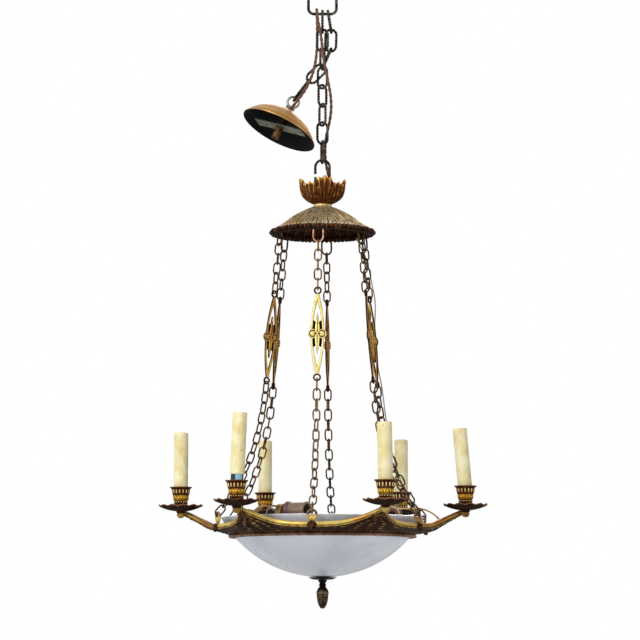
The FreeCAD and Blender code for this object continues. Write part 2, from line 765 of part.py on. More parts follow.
def arm():
    """One arm of the star with its half of the rail and web on each side, along +X."""
    reach = 180 / ARMS - math.degrees(PANEL_GAP / 2 / BASE_OUTER)
    halves = []
    for side in (-1, 1):
        shares = [(n / PANEL_STEPS) ** PANEL_CROWDING for n in range(PANEL_STEPS + 1)]
        sections = [panel_section(side * reach * share) for share in shares]
        halves.append(Part.makeLoft(sections, True, False))
    boss = turned([
        (0, BOSS_LOW),
        (BOSS_RADIUS * 0.6, BOSS_LOW),
        ((BOSS_RADIUS * 0.9, BOSS_LOW + BOSS_BELOW * 0.2), (BOSS_RADIUS, BOSS_LOW + BOSS_BELOW * 0.6)),
        (BOSS_RADIUS, RAIL_Z + RAIL_RISE),
        (BOSS_NECK, BOSS_TOP),
        (0, BOSS_TOP),
    ])
    boss.translate(V(ARM_RADIUS, 0, 0))
    hole = rod(NIPPLE / 2 + SEAT, BOSS_TOP - NIPPLE_IN_ARM, BOSS_TOP)
    hole.translate(V(ARM_RADIUS, 0, 0))
    return halves[0].fuse([halves[1], boss]).cut(hole).removeSplitter()


def arm_azimuth(k):
    return ARM_TURN + 360 / ARMS * k


def chain_lugs():
    half = LUG_WIDTH / 2
    foot = LUG_FOOT / 2
    top = LUG_HIGH - half
    shoulder = top / 2
    sides = [(-foot, 0), (foot, 0), (half, shoulder), (half, top)]
    outline = sides + [((0, LUG_HIGH), (-half, top)), (-half, shoulder)]
    tab = plate_face(outline).cut(disc(LUG_HOLE, 0, LUG_HOLE_UP)).extrude(V(0, LUG_THICK, 0))
    tab.translate(V(0, -LUG_THICK / 2, 0))
    lugs = []
    for k in range(CHAINS):
        out = outwards(lug_azimuth(k))
        lugs.append(placed(tab, axes(out * LUG_RADIUS + V(0, 0, LUG_LOW), sideways(lug_azimuth(k)), UP)))
    return group(lugs)


# Candle lights
PAN_LOW = BOSS_TOP
CUP_LOW = PAN_LOW + PAN_WALL
CUP_TOP = CUP_LOW + CUP_HIGH
SOCKET_LOW = CUP_LOW + SOCKET_UP
LEAN_Z = SOCKET_LOW + NIPPLE_IN_SOCKET / 2
COVER_LOW = CUP_TOP - COVER_IN_CUP
NIPPLE_HOLE = NIPPLE / 2 + SEAT


def on_each_arm(solid):
    return group([placed(solid, at_azimuth(arm_azimuth(k), ARM_RADIUS)) for k in range(ARMS)])


def drip_pans():
    low = PAN_LOW
    high = low + PAN_DEEP
    wall = PAN_WALL
    pan = turned([
        (NIPPLE_HOLE, low),
        (PAN_FLOOR, low),
        ((PAN_RADIUS * 0.72, low + PAN_DEEP * 0.45), (PAN_RADIUS, high)),
        (PAN_RADIUS - wall, high),
        ((PAN_RADIUS * 0.68, low + PAN_DEEP * 0.45 + wall), (PAN_FLOOR, low + wall)),
        (NIPPLE_HOLE, low + wall),
    ])
    notch = PAN_RADIUS * math.pi / PAN_LEAVES * 0.4
    cuts = []
    for k in range(PAN_LEAVES):
        middle = outwards(360 / PAN_LEAVES * k) * (PAN_RADIUS + notch * 0.4)
        cuts.append(Part.makeCylinder(notch, PAN_DEEP * 2, V(middle.x, middle.y, low)))
    return on_each_arm(pan.cut(cuts))


def cup_radius(share):
    """Outer radius of a candle cup at a share of its height."""
    return CUP_FOOT + (CUP_MOUTH - CUP_FOOT) * share ** CUP_FLARE


def candle_cups():
    floor = CUP_LOW + CUP_FLOOR
    floor_share = CUP_FLOOR / CUP_HIGH
    shares = (floor_share, 0.25, 0.45, 0.65, 0.85)
    outer = [(cup_radius(share), CUP_LOW + share * CUP_HIGH) for share in shares]
    inner = [(radius - CUP_WALL, z) for radius, z in reversed(outer)]
    flange = CUP_MOUTH + CUP_LIP
    lip = CUP_TOP - 2 * CUP_LIP
    profile = [(NIPPLE_HOLE, CUP_LOW), (CUP_FOOT, CUP_LOW)] + outer
    profile += [(CUP_MOUTH, lip), (flange, lip), (flange, CUP_TOP), (CUP_MOUTH - CUP_WALL, CUP_TOP)]
    profile += inner + [(NIPPLE_HOLE, floor)]
    return on_each_arm(turned(profile))


def arm_nipples():
    low = BOSS_TOP - NIPPLE_IN_ARM + SEAT
    return on_each_arm(tube(NIPPLE / 2, NIPPLE_BORE / 2, low, SOCKET_LOW + NIPPLE_IN_SOCKET))


def candle_frame(k):
    """Frame of a candle light, +Z along its lean, origin where its socket is screwed on the nipple."""
    middle = outwards(arm_azimuth(k)) * ARM_RADIUS + V(0, 0, LEAN_Z)
    return axes(middle, BACK.cross(lean_to_right(COVER_LEANS[k])), lean_to_right(COVER_LEANS[k]))


SOCKET_FOOT = SOCKET_LOW - LEAN_Z
SOCKET_TOP = SOCKET_FOOT + SOCKET_LENGTH


def candle_sockets():
    body = rod(SOCKET / 2, SOCKET_FOOT, SOCKET_TOP)
    bulb_hole = rod(SOCKET_BORE / 2, SOCKET_TOP - SOCKET_DEPTH, SOCKET_TOP)
    thread = rod(NIPPLE / 2 + SOCKET_THREAD_PLAY, SOCKET_FOOT, SOCKET_FOOT + NIPPLE_IN_SOCKET + CUP_FLOOR)
    body = body.cut([bulb_hole, thread])
    return group([placed(body, candle_frame(k)) for k in range(ARMS)])


def candle_cover(k):
    low = COVER_LOW - LEAN_Z + PLAY + COVER_LEAN_LIFT * abs(COVER_LEANS[k]) + COVER_RAISED[k]
    cover = tube(COVER / 2, COVER_INSIDE / 2, low, low + COVER_LENGTH)
    return placed(cover, candle_frame(k))


# Bowl and finial
def bowl():
    inside = BOWL_SPHERE - BOWL_WALL
    hole_low = BOWL_MIDDLE - math.sqrt(BOWL_SPHERE ** 2 - BOWL_HOLE ** 2)
    hole_high = BOWL_MIDDLE - math.sqrt(inside ** 2 - BOWL_HOLE ** 2)
    half = math.radians(45)
    outer_mid = (BOWL_SPHERE * math.sin(half / 1.5), BOWL_MIDDLE - BOWL_SPHERE * math.cos(half / 1.5))
    inner_mid = (inside * math.sin(half / 1.5), BOWL_MIDDLE - inside * math.cos(half / 1.5))
    profile = [
        (BOWL_HOLE, hole_low),
        (outer_mid, (sphere_radius_at(BOWL_SPHERE, BOWL_RIM), BOWL_RIM)),
        (sphere_radius_at(inside, BOWL_RIM), BOWL_RIM),
        (inner_mid, (BOWL_HOLE, hole_high)),
    ]
    return turned(profile)


PLATE_TOP = BOWL_LOW - SEAT
PLATE_LOW = PLATE_TOP - FINIAL_PLATE_HIGH
WASHER_LOW = BOWL_LOW + BOWL_WALL + FINIAL_WASHER ** 2 / 2 / (BOWL_SPHERE - BOWL_WALL) + SEAT
NUT_LOW = WASHER_LOW + FINIAL_WASHER_HIGH
NUT_TOP = NUT_LOW + FINIAL_NUT_HIGH
STUD_HOLE = FINIAL_STUD + PLAY


def finial_plate():
    profile = [
        (STUD_HOLE, PLATE_LOW),
        (FINIAL_PLATE * 0.4, PLATE_LOW),
        ((FINIAL_PLATE * 0.75, PLATE_LOW + FINIAL_PLATE_HIGH * 0.25), (FINIAL_PLATE, PLATE_TOP)),
        (STUD_HOLE, PLATE_TOP),
    ]
    return turned(profile)


def finial():
    top = PLATE_LOW - PLAY
    shoulder = top - FINIAL_NECK
    tip = shoulder - FINIAL_ACORN_HIGH
    wide = shoulder - FINIAL_ACORN_HIGH * 0.35
    profile = [
        (0, NUT_TOP + 1),
        (FINIAL_STUD, NUT_TOP + 1),
        (FINIAL_STUD, top),
        (FINIAL_NECK_RADIUS + 2, top),
        ((FINIAL_NECK_RADIUS - 1, top - FINIAL_NECK / 2), (FINIAL_NECK_RADIUS + 2, shoulder)),
        ((FINIAL_ACORN * 0.93, shoulder - FINIAL_ACORN_HIGH * 0.12), (FINIAL_ACORN, wide)),
        ((FINIAL_ACORN * 0.68, tip + FINIAL_ACORN_HIGH * 0.2), (1.2, tip)),
        (0, tip),
    ]
    return turned(profile)


def finial_washer():
    return tube(FINIAL_WASHER, STUD_HOLE, WASHER_LOW, NUT_LOW)


def finial_nut():
    return hexagon_nut(FINIAL_NUT, STUD_HOLE, NUT_LOW, NUT_TOP)


# Lampholders
LAMP_Z = BOWL_RIM + LAMP_ABOVE_RIM
LAMP_CAP_MIDDLE = -LAMP_BEAD_LONG / 2 - LAMP_CAP_LONG / 2


def lamp_azimuth(n):
    """Azimuth of a holder's middle, so that its cap lies in front of the arm with its bracket."""
    offset = math.degrees(math.atan(-LAMP_CAP_MIDDLE / LAMP_RADIUS))
    return arm_azimuth(LAMP_ARMS[n]) + offset


def lamp_frame(n):
    """Frame of a holder, +Z along it towards its mouth, origin in the middle of its bead."""
    middle = outwards(lamp_azimuth(n)) * LAMP_RADIUS + V(0, 0, LAMP_Z)
    return axes(middle, UP, sideways(lamp_azimuth(n)))


def on_each_lamp(solid):
    return group([placed(solid, lamp_frame(n)) for n in range(LAMPS)])


def lamp_shells():
    low = LAMP_BEAD_LONG / 2
    shell = tube(LAMP_SHELL, LAMP_BORE, low, low + LAMP_SHELL_LONG)
    lip = tube(LAMP_SHELL + LAMP_LIP, LAMP_BORE, low + LAMP_SHELL_LONG - LAMP_LIP_LONG, low + LAMP_SHELL_LONG)
    return on_each_lamp(shell.fuse(lip))


def lamp_caps():
    bead = LAMP_BEAD_LONG / 2
    low = -bead - LAMP_CAP_LONG
    cap = turned([
        (0, low),
        (LAMP_CAP - LAMP_CAP_EDGE, low),
        (LAMP_CAP, low + LAMP_CAP_EDGE),
        (LAMP_CAP, -bead),
        ((LAMP_BEAD, 0), (LAMP_SHELL, bead)),
        (0, bead),
    ])
    return on_each_lamp(cap)


def lamp_bushes():
    low = -LAMP_BEAD_LONG / 2 - LAMP_CAP_LONG
    return on_each_lamp(tube(LAMP_BUSH, LAMP_BUSH / 2, low - LAMP_BUSH_LONG, low))


def web_top(radius):
    """Height of the top of an arm's web above its middle line."""
    tip, middle = rail_point(0)
    share = (radius - BASE_OUTER - SEAT) / (tip - RAIL_DEEP - BASE_OUTER - SEAT)
    return BASE_TOP + share * (middle - RAIL_HIGH / 2 + WEB_THICK - BASE_TOP)


def bent_strap(reach, strap_low):
    """Side view of a bracket's strap: level above the bowl, then bent down to its foot on the web."""
    top = strap_low + BRACKET_THICK
    heel = BRACKET_FOOT - BRACKET_TOE
    ends = [(r, web_top(r) + SEAT) for r in (BRACKET_FOOT, heel)]
    fall = top - ends[0][1]
    bend = ((BRACKET_FOOT - BRACKET_KNEE) ** 2 + fall ** 2) / 2 / fall

    def halfway(radius, end):
        across = (end - BRACKET_KNEE) / 2
        return (BRACKET_KNEE + across, top - bend + math.sqrt(radius ** 2 - across ** 2))

    return plate_face([
        ends[0],
        (halfway(bend, BRACKET_FOOT), (BRACKET_KNEE, top)),
        (reach, top),
        (reach, strap_low),
        (BRACKET_KNEE, strap_low),
        (halfway(bend - BRACKET_THICK, heel), ends[1]),
    ])


def lamp_brackets():
    """Straps from the arms over the bowl's rim, each with a ring round a holder's cap."""
    brackets = []
    strap_low = BOWL_RIM + BRACKET_ABOVE_RIM
    half = BRACKET_WIDE / 2
    for n in range(LAMPS):
        cap_ring = rod(LAMP_CAP + SEAT + BRACKET_RING, -half, half)
        hole = rod(LAMP_CAP + SEAT, -BRACKET_WIDE, BRACKET_WIDE)
        frame = lamp_frame(n)
        middle = frame.multVec(V(0, 0, LAMP_CAP_MIDDLE))
        ring_frame = axes(middle, UP, sideways(lamp_azimuth(n)))
        azimuth = arm_azimuth(LAMP_ARMS[n])
        reach = middle.dot(outwards(azimuth))
        strap = bent_strap(reach, strap_low).extrude(V(0, BRACKET_WIDE, 0))
        strap.translate(V(0, -half, 0))
        arm_side = placed(strap, at_azimuth(azimuth))
        bracket = arm_side.fuse(placed(cap_ring, ring_frame)).cut(placed(hole, ring_frame))
        brackets.append(bracket)
    return group(brackets)


# Loose canopy
def canopy_axis():
    roll = math.radians(CANOPY_ROLL)
    pitch = math.radians(CANOPY_PITCH)
    return V(math.sin(roll) * math.cos(pitch), math.sin(pitch), math.cos(roll) * math.cos(pitch))


def canopy_frame():
    """Frame of the canopy: origin where its loop hangs on the chain, +Z out through the loop."""
    up = canopy_axis()
    return axes(canopy_chain_points()[-1], BACK - up * BACK.dot(up), up)


LOOP_MIDDLE = 2 * PLAY - CANOPY_LOOP_INSIDE
CANOPY_COLLAR_TOP = LOOP_MIDDLE - CANOPY_LOOP_INSIDE - CANOPY_LOOP_WIRE / 2
CANOPY_APEX = CANOPY_COLLAR_TOP - CANOPY_COLLAR_HIGH
CANOPY_RIM = CANOPY_APEX - CANOPY_DEEP
STEM_LOW = CANOPY_RIM - STEM_PAST_RIM
STEM_HOLE = STEM + SEAT


def canopy_loop():
    loop = ring(CANOPY_LOOP_INSIDE + CANOPY_LOOP_WIRE / 2, CANOPY_LOOP_WIRE, RIGHT)
    loop.translate(V(0, 0, LOOP_MIDDLE))
    collar = rod(CANOPY_COLLAR, CANOPY_APEX, CANOPY_COLLAR_TOP)
    return placed(loop.fuse(collar), canopy_frame())


def canopy_shell():
    flat = CANOPY_COLLAR + CANOPY_FLAT
    reach = CANOPY_RADIUS - flat
    dome = (reach ** 2 + CANOPY_DEEP ** 2) / 2 / CANOPY_DEEP
    inside = dome - CANOPY_WALL
    centre = CANOPY_APEX - dome
    rim_inside = flat + math.sqrt(inside ** 2 - (dome - CANOPY_DEEP) ** 2)
    half_turn = math.asin(reach / dome) / 2
    middles = [(flat + r * math.sin(half_turn), centre + r * math.cos(half_turn)) for r in (dome, inside)]
    profile = [
        (STEM_HOLE, CANOPY_APEX),
        (flat, CANOPY_APEX),
        (middles[0], (CANOPY_RADIUS, CANOPY_RIM)),
        (rim_inside, CANOPY_RIM),
        (middles[1], (flat, CANOPY_APEX - CANOPY_WALL)),
        (STEM_HOLE, CANOPY_APEX - CANOPY_WALL),
    ]
    return placed(turned(profile), canopy_frame())


def canopy_stem():
    return placed(tube(STEM, STEM_BORE, STEM_LOW, CANOPY_APEX), canopy_frame())


def canopy_nut():
    high = CANOPY_APEX - 2 * CANOPY_WALL
    return placed(hexagon_nut(CANOPY_NUT, STEM_HOLE, high - CANOPY_NUT_HIGH, high), canopy_frame())


def canopy_strap():
    low = CANOPY_RIM + STRAP_FROM_RIM
    strap = Part.makeBox(STRAP_LONG, STRAP_WIDE, STRAP_THICK, V(-STRAP_LONG / 2, -STRAP_WIDE / 2, low))
    holes = [rod(STEM_HOLE, low, low + STRAP_THICK)]
    for x in (-STRAP_HOLES / 2, STRAP_HOLES / 2):
        holes.append(Part.makeCylinder(STRAP_HOLE, STRAP_THICK, V(x, 0, low)))
    strap = strap.cut(holes)
    strap.rotate(V(0, 0, 0), UP, STRAP_TURN)
    return placed(strap, canopy_frame())


# Cords
CROWN_INLET = V(9.2, 4.0, COLLAR_TOP + PLAY)
TOP_BAR_Z = TOP_LINK_LOW.z - (TOP_LINK_WIRE + PLAY) / 2
FOLD_X = -10.0          # where the cord goes over the bottom of the top link
FOLD = (TOP_LINK_WIRE + CORD) / 2 + CORD / 2
INLET_LEAN = 0.5        # of the cord's end in the canopy's collar, towards the loop
INLET_SIDE = V(0.3, -1, 0)      # side of the collar where the cord goes in
# Points to the right, to the back, and as a share of the rise from the crown to the top link
CORD_RISE = (
    (9.2, 4, 0.017), (11.5, 5.6, 0.043), (13, 9, 0.074), (11.5, 13.5, 0.112), (8, 17, 0.160), (5, 19, 0.218),
    (4.5, 19, 0.283), (6.5, 16.5, 0.344), (11, 10.5, 0.396), (14.5, 2.5, 0.449), (15.5, -7, 0.504),
    (13.5, -14, 0.566), (9, -18, 0.630), (4, -19.5, 0.701), (0.5, -19.5, 0.775), (-1.5, -19, 0.842),
    (-4, -16, 0.904), (-8, -11.5, 0.953),
)
# Points to the right, to the back, and as a share of the fall from the top link to the canopy
CORD_FALL = (
    (-9, 11.5, 0.091), (-9, 14, 0.216), (-9.5, 14.5, 0.347), (-11.5, 13, 0.478), (-15.5, 9.5, 0.597),
    (-21.5, 5.5, 0.704), (-29, 2, 0.80), (-38, -0.5, 0.883),
)
LAMP_WIRE_CHAIN = 2
LAMP_WIRE_SIDE = 17.0
# Points outwards from the chain, sideways from it, and as a share of the fall from its staple to its lug
LAMP_WIRE_WAY = (
    (-14, 2, 0.010), (-7.5, 4, 0.036), (2.8, 7, 0.070), (8.7, 9, 0.113), (10.4, 8, 0.162), (13, 5, 0.211),
    (12.7, 6, 0.260), (10.3, 10, 0.311), (10.3, 12.5, 0.365), (10.2, 13, 0.420), (10.7, 12, 0.473),
    (12.6, 9.5, 0.520), (13.2, 7.5, 0.568), (13, 8, 0.618), (12.6, 9, 0.668), (12, 10, 0.717),
    (11, 11, 0.764),
    (9.6, 11.6, 0.810), (8, 12.4, 0.855), (6, 13.5, 0.898), (3.8, 14.8, 0.940), (1.5, 16, 0.978),
)


def canopy_inlet():
    """End of the supply cord at the canopy's collar, and the direction in which the cord leaves it."""
    up = canopy_axis()
    collar = canopy_chain_points()[-1] + up * (CANOPY_APEX + CANOPY_COLLAR_HIGH / 2)
    out = INLET_SIDE - up * INLET_SIDE.dot(up)
    out.normalize()
    leaving = out + up * INLET_LEAN
    leaving.normalize()
    edge = CORD / 2 * math.sin(leaving.getAngle(out))
    return collar + out * (CANOPY_COLLAR + edge + PLAY), leaving


def supply_cord_route():
    """From the crown's collar along the heavy chain, over the top link, and down to the canopy's collar."""
    inlet, leaving = canopy_inlet()
    rise = TOP_BAR_Z - CROWN_INLET.z
    fall = TOP_BAR_Z - inlet.z
    going_up = [V(x, y, CROWN_INLET.z + share * rise) for x, y, share in CORD_RISE]
    over = [V(FOLD_X, -FOLD, TOP_BAR_Z + FOLD), V(FOLD_X, FOLD, TOP_BAR_Z + FOLD)]
    going_down = [V(x, y, TOP_BAR_Z - share * fall) for x, y, share in CORD_FALL]
    return [CROWN_INLET] + going_up + over + going_down + [inlet + leaving * (2 * CORD), inlet]


def chain_radius_at(z):
    """Distance of a suspension chain from the axis at a height."""
    straight_end = hanging(HANG_RADIUS, HANG_Z, UPPER_REACH + BAR_REACH)
    if z >= straight_end[1]:
        return HANG_RADIUS + (HANG_Z - z) * math.tan(math.radians(HANG_ANGLE))
    low, high = 0.0, 1.0
    for step in range(40):
        middle = (low + high) / 2
        if lower_curve(middle)[1] > z:
            low = middle
        else:
            high = middle
    return lower_curve(low)[0]


def lamp_wire_route():
    azimuth = lug_azimuth(LAMP_WIRE_CHAIN)
    fall = HANG_Z - LUG_HANG[1]
    way = []
    for out, side, share in LAMP_WIRE_WAY:
        z = HANG_Z - share * fall
        way.append((chain_radius_at(z) + out, side, z))
    way.append((LUG_RADIUS - WIRE, LAMP_WIRE_SIDE, rail_top(LAMP_WIRE_SIDE) + WIRE / 2 + PLAY))
    return [outwards(azimuth) * r + sideways(azimuth) * t + V(0, 0, z) for r, t, z in way]


def cord_tube(places, diameter, name):
    """Round cord along straight runs joined by the largest tangent arcs; prints its bend radii and volume."""
    runs = [(b - a).Length for a, b in zip(places, places[1:])]
    edges = []
    radii = []
    at = places[0]
    for k in range(1, len(places) - 1):
        before = (places[k] - places[k - 1]).normalize()
        after = (places[k + 1] - places[k]).normalize()
        half_turn = before.getAngle(after) / 2
        reach = 0.45 * min(runs[k - 1], runs[k])
        radius = reach / math.tan(half_turn)
        arc_start = places[k] - before * reach
        arc_end = places[k] + after * reach
        to_middle = (after - before).normalize()
        middle = places[k] + to_middle * (radius / math.cos(half_turn) - radius)
        edges.append(Part.makeLine(at, arc_start))
        edges.append(Part.Arc(arc_start, middle, arc_end).toShape())
        radii.append(radius)
        at = arc_end
    edges.append(Part.makeLine(at, places[-1]))
    cord = pipe(edges, diameter)
    length = sum(edge.Length for edge in edges)
    volume = length * math.pi * diameter ** 2 / 4
    print(name, "length", round(length, 1), "tightest bend", round(min(radii), 1),
          "radii", [round(r) for r in radii], "volume share", round(cord.Volume / volume, 4))
    return cord


def all_nodes():
    nodes = {
        "ceiling_hook": ceiling_hook(),
        "top_link": top_link(),
        "main_chain": main_chain(),
        "canopy_chain": canopy_chain(),
        "canopy_loop": canopy_loop(),
        "canopy_shell": canopy_shell(),
        "canopy_stem": canopy_stem(),
        "canopy_nut": canopy_nut(),
        "canopy_strap": canopy_strap(),
        "supply_cord": cord_tube(supply_cord_route(), CORD, "supply_cord"),
        "lamp_wire": cord_tube(lamp_wire_route(), WIRE, "lamp_wire"),
        "crown_link": crown_link(),
        "crown_eye": crown_eye(),
        "crown_cup": crown_cup(),
        "neck_ring": neck_ring(),
        "corona": corona(),
        "crown_nut": crown_nut(),
        "chain_staples": chain_staples(),
        "base_ring": base_ring(),
        "chain_lugs": chain_lugs(),
        "drip_pans": drip_pans(),
        "candle_cups": candle_cups(),
        "arm_nipples": arm_nipples(),
        "candle_sockets": candle_sockets(),
        "bowl": bowl(),
        "finial_plate": finial_plate(),
        "finial": finial(),
        "finial_washer": finial_washer(),
        "finial_nut": finial_nut(),
        "lamp_shells": lamp_shells(),
        "lamp_caps": lamp_caps(),
        "lamp_bushes": lamp_bushes(),
        "lamp_brackets": lamp_brackets(),
    }
    arm_solid = arm()
    for k in range(ARMS):
        nodes["arm_%d" % (k + 1)] = placed(arm_solid, at_azimuth(arm_azimuth(k)))
        nodes["candle_cover_%d" % (k + 1)] = candle_cover(k)
    for k in range(CHAINS):
        nodes["suspension_chain_%d" % (k + 1)] = group(upper_links(k) + lower_links(k))
        nodes["pierced_bar_%d" % (k + 1)] = pierced_bar(k)
    return nodes


os.makedirs("parts", exist_ok=True)
NODES = all_nodes()
for node, shape in NODES.items():
    shape.exportStep("parts/%s.step" % node)
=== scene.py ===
import math
import bmesh
import bpy
from mathutils import Matrix, Vector
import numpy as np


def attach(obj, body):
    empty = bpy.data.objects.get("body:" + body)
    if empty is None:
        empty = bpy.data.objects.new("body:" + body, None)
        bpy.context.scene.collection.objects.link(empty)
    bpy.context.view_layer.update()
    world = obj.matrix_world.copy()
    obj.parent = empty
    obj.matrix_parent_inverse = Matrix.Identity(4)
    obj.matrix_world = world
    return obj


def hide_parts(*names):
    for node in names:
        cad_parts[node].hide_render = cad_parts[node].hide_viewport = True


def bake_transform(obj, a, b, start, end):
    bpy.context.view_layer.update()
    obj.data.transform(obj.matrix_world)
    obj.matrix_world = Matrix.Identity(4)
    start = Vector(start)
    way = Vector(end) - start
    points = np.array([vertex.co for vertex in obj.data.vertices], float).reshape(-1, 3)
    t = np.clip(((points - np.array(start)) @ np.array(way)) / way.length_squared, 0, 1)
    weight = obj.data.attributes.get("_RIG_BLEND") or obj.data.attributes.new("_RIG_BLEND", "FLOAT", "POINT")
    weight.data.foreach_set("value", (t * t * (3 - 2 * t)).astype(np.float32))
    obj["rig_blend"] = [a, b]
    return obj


# Looks of a six-light chandelier with an alabaster bowl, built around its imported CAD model.
# Sizes are millimetres unless a comment says otherwise; meshes are written in metres.

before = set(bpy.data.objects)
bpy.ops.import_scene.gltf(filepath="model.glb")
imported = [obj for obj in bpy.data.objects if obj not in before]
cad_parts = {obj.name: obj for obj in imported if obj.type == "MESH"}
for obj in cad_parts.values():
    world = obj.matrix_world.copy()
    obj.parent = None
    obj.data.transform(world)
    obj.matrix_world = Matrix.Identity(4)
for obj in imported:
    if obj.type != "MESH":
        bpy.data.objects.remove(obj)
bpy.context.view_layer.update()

MM = 0.001
TAU = 2 * math.pi
UP = Vector((0, 0, 1))
BACK = Vector((0, 1, 0))

# Wear, painted light and shade, and seams
SKY_PAINTED_LIGHT = 0.15          # painted light: a face that looks up is lighter, one that looks down darker
EDGE_WEAR_AND_SHADE = 0.4          # the most that a worn edge gains and a hollow loses, to patina and painted shade
SEAM_WELD = 0.02        # how near the points of neighbouring copies are merged
POINT_WELD = 0.002      # and those of one piece
PLATE_WELD = 0.001      # and those of a flat plate

# Camera: its place in metres and its rise in degrees
CAMERA_PLACE = (-0.0043, -4.55, -1.144)
CAMERA_RISE = 6.485
CAMERA_LENS = 149.06
SENSOR = 36.0

# Heavy chain and crown link
TOP_LINK_LOW = -85.0
CHAIN_PITCH = 33.0
CHAIN_WIDTH = 24.0
ROPE_WIRE = 5.0
ROPE_LOOK = {"twists": 5.0, "lobe": 0.74, "steps": 60}
MAIN_LINKS = 8
MAIN_TURN = 101.25      # degrees from each link to the next
LINK_PLAY = 0.3
STRAND_START = (10.0, 0.0, -84.85)
STRAND_LEANS = ((9, 14), (-2, 18), (-24, 14), (-45, 2))  # each link's lean to the right and to the back
STRAND_LAST = ((-37, -4), 42.0)                          # the last link's lean and pitch
CROWN_LINK_TOP = -349.0
CROWN_LINK_PITCH = 46.0
CROWN_LINK_WIDTH = 29.0
CROWN_LINK_WIRE = 4.2
CROWN_LINK_ROPE = 5.0   # across its strands
CROWN_LINK_STRANDS = 3
CROWN_LINK_STRAND = 1.45
CROWN_LINK_LAY = 14.0   # length of one turn of a strand
CROWN_LINK_GAP = 6.0
CROWN_LINK_GAP_DROP = 28.0

# Crown cup
CUP_BASE = -424.6
CUP_TALL = 47.0
CUP_FOOT = 15.0
CUP_SPREAD = 38.5
CROWN_BORE = 5.2        # also of the corona's top
CROWN_LEAVES = 4        # tall ones, each with a short one beside it
CROWN_TURN = -84.0      # degrees to the first tall leaf
TALL_CUT = 3.0          # top of the cup to the tip of a tall leaf
SHORT_CUT = 12.0
SHORT_INSET = 1.6
LEAF_SPAN = 66.0        # degrees that one leaf takes up
LEAF_THICK = 1.5
LEAF_HOLLOW = 3.4
LEAF_LIP = 1.8
LEAF_FLUTE = 1.7
LEAF_LOBE = 0.5         # one lobe's share of half a leaf
CROWN_SEAT = (          # radius outside the foot and height of the plain cup behind the leaves
    (0, 0), (9, 9), (13, 18), (14, 25), (12, 25), (10, 18), (6, 10), (-3, 3),
)
SEAT_FLOOR = 3

# Corona
CORONA_TOP = -430.6
CORONA_NECK = 16.5
CORONA_EDGE = 84.0
CORONA_FALL = 44.0
CORONA_RIM = CORONA_TOP - CORONA_FALL
CORONA_BEND = 1.25      # power of its fall
CORONA_WALL = 2.6
CORONA_RIBS = 24
RIB_SWELL = 2.6
RIB_KEEL = 0.9
RIB_VEIN = 0.55
RIB_VEIN_BEND = (2.2, 4.0)      # how the veins turn across a rib and along it
CORONA_ROLL = 83.0      # radius of the rolled rim
ROLL_LOBE = (8.6, 4.3, 5.5)     # half sizes of one lobe: outwards, along the rim, upwards
ROLL_APART = 7.2
CORONA_BEADS = 72
CORONA_BEAD = 1.6

# Suspension chains
CHAINS = 6
LIT_FRONT = 0               # the chain nearest the viewer; its links, jump ring and bar get lighter finishes, which are painted light
LUG_TURN = -5.15        # degrees from the viewer's side to the first lug, towards the right
HANG_RADIUS = 80.0
HANG_Z = -475.546
HANG_LEAN = math.radians(5.5)
LUG_LEAN = math.radians(45.0)
LUG_HANG = (196.0, -965.5)      # radius and height where a chain ends
SMALL_WIRE = 2.8
JUMP_WIRE = 3.2
SMALL_WIDTH = 14.5
JUMP_PITCH = 24.5
JUMP_WIDTH = 20.0
UPPER_LINKS = 5
UPPER_PITCH = 16.8
LOWER_LINKS = 14

# Pierced bars
BAR_LENGTH = 150.0      # between the eyes
BAR_EYE = 6.2
BAR_EYE_HOLE = 3.8
BAR_SLACK = 0.8
BAR_COLLAR = (1.5, 1.9)         # half sizes of the bead round an eye: outwards and through it
BAR_THICK = 3.0
BAR_EDGE = 1.1          # rounding of its edges
BAR_NAVETTE = 11.6      # half width of the pierced frame
BAR_STRIP = 3.6
BAR_WIDE = 15.8         # half width across the lobes
BAR_LOBE = 8.0
BAR_SPEAR = 4.4
BAR_SPEAR_REACH = 36.0
BAR_WEB = 24.0
BAR_WEB_THICK = 1.2
BAR_BRIDGE = 7.6
BAR_EYELET = 1.4
BAR_NOTCH = 6.0
BAR_SLIT = (3.4, 1.5, 1.0)      # half sizes of the dark slit beside the eyelet
BAR_SLIT_OUT = 3.6
BAR_TWISTS = (-5, -22, 0, -80, -20, 71)
UPPER_REACH = JUMP_PITCH + UPPER_LINKS * UPPER_PITCH
BAR_REACH = BAR_LENGTH + 2 * (BAR_EYE_HOLE - BAR_SLACK)

# Star frame
ARMS = 6
ARM_TURN = 24.85        # degrees from the viewer's side to the first arm, towards the right
ARM_RADIUS = 245.0
BROWN_ARMS = (3, 4)     # arms given the browner gilt finish
RAIL_Z = -985.6
RAIL_RISE = 26.0
RAIL_TIP = 240.0
RAIL_VALLEY = 198.0
RAIL_SWEEP = 4.5        # power of the rail's way out to a tip
RAIL_LIFT = 3.3         # power of its rise
RAIL_HIGH = 9.0
RAIL_DEEP = 8.0
RAIL_START = 0.3        # degrees from an arm's middle to its half rails
PANEL_REACH = 29.95     # degrees from an arm's middle to its seams
WEB_THICK = 4.5
SPRAY_TOP = 66.0        # along the web, where its leaves spring from
SPRAY_LIFT = 2.4
SPRAY_DENT = 0.8        # how far the leaves show on the web's upper side
BASE_TOP = -990.6
BASE_LOW = -1002.6
BASE_OUTER = 166.0
BASE_FOOT = 157.5
BASE_LOWER_BEAD = ((158.6, 2.6), 2.6)   # radius and height of its middle, and its own radius
BASE_UPPER_BEAD = ((163.4, 10.0), 2.0)
BASE_COVE = ((158.2, 5.6), (159.4, 6.4), (161.0, 7.4), (162.2, 8.2))  # radius and height above its foot
BOSS_LOW = -968.6
BOSS_ELBOW = ((0, 0.6), (3.0, 1.0), (5.4, 2.6), (6.6, 5.0), (6.8, 7.6), (6.4, 8.8))
BOSS_STEM = ((6.0, 9.2), (7.2, 10.0), (8.0, 11.4), (7.6, 12.8), (7.3, 14.0), (5.0, 14.0), (5.0, 4), (0, 4))

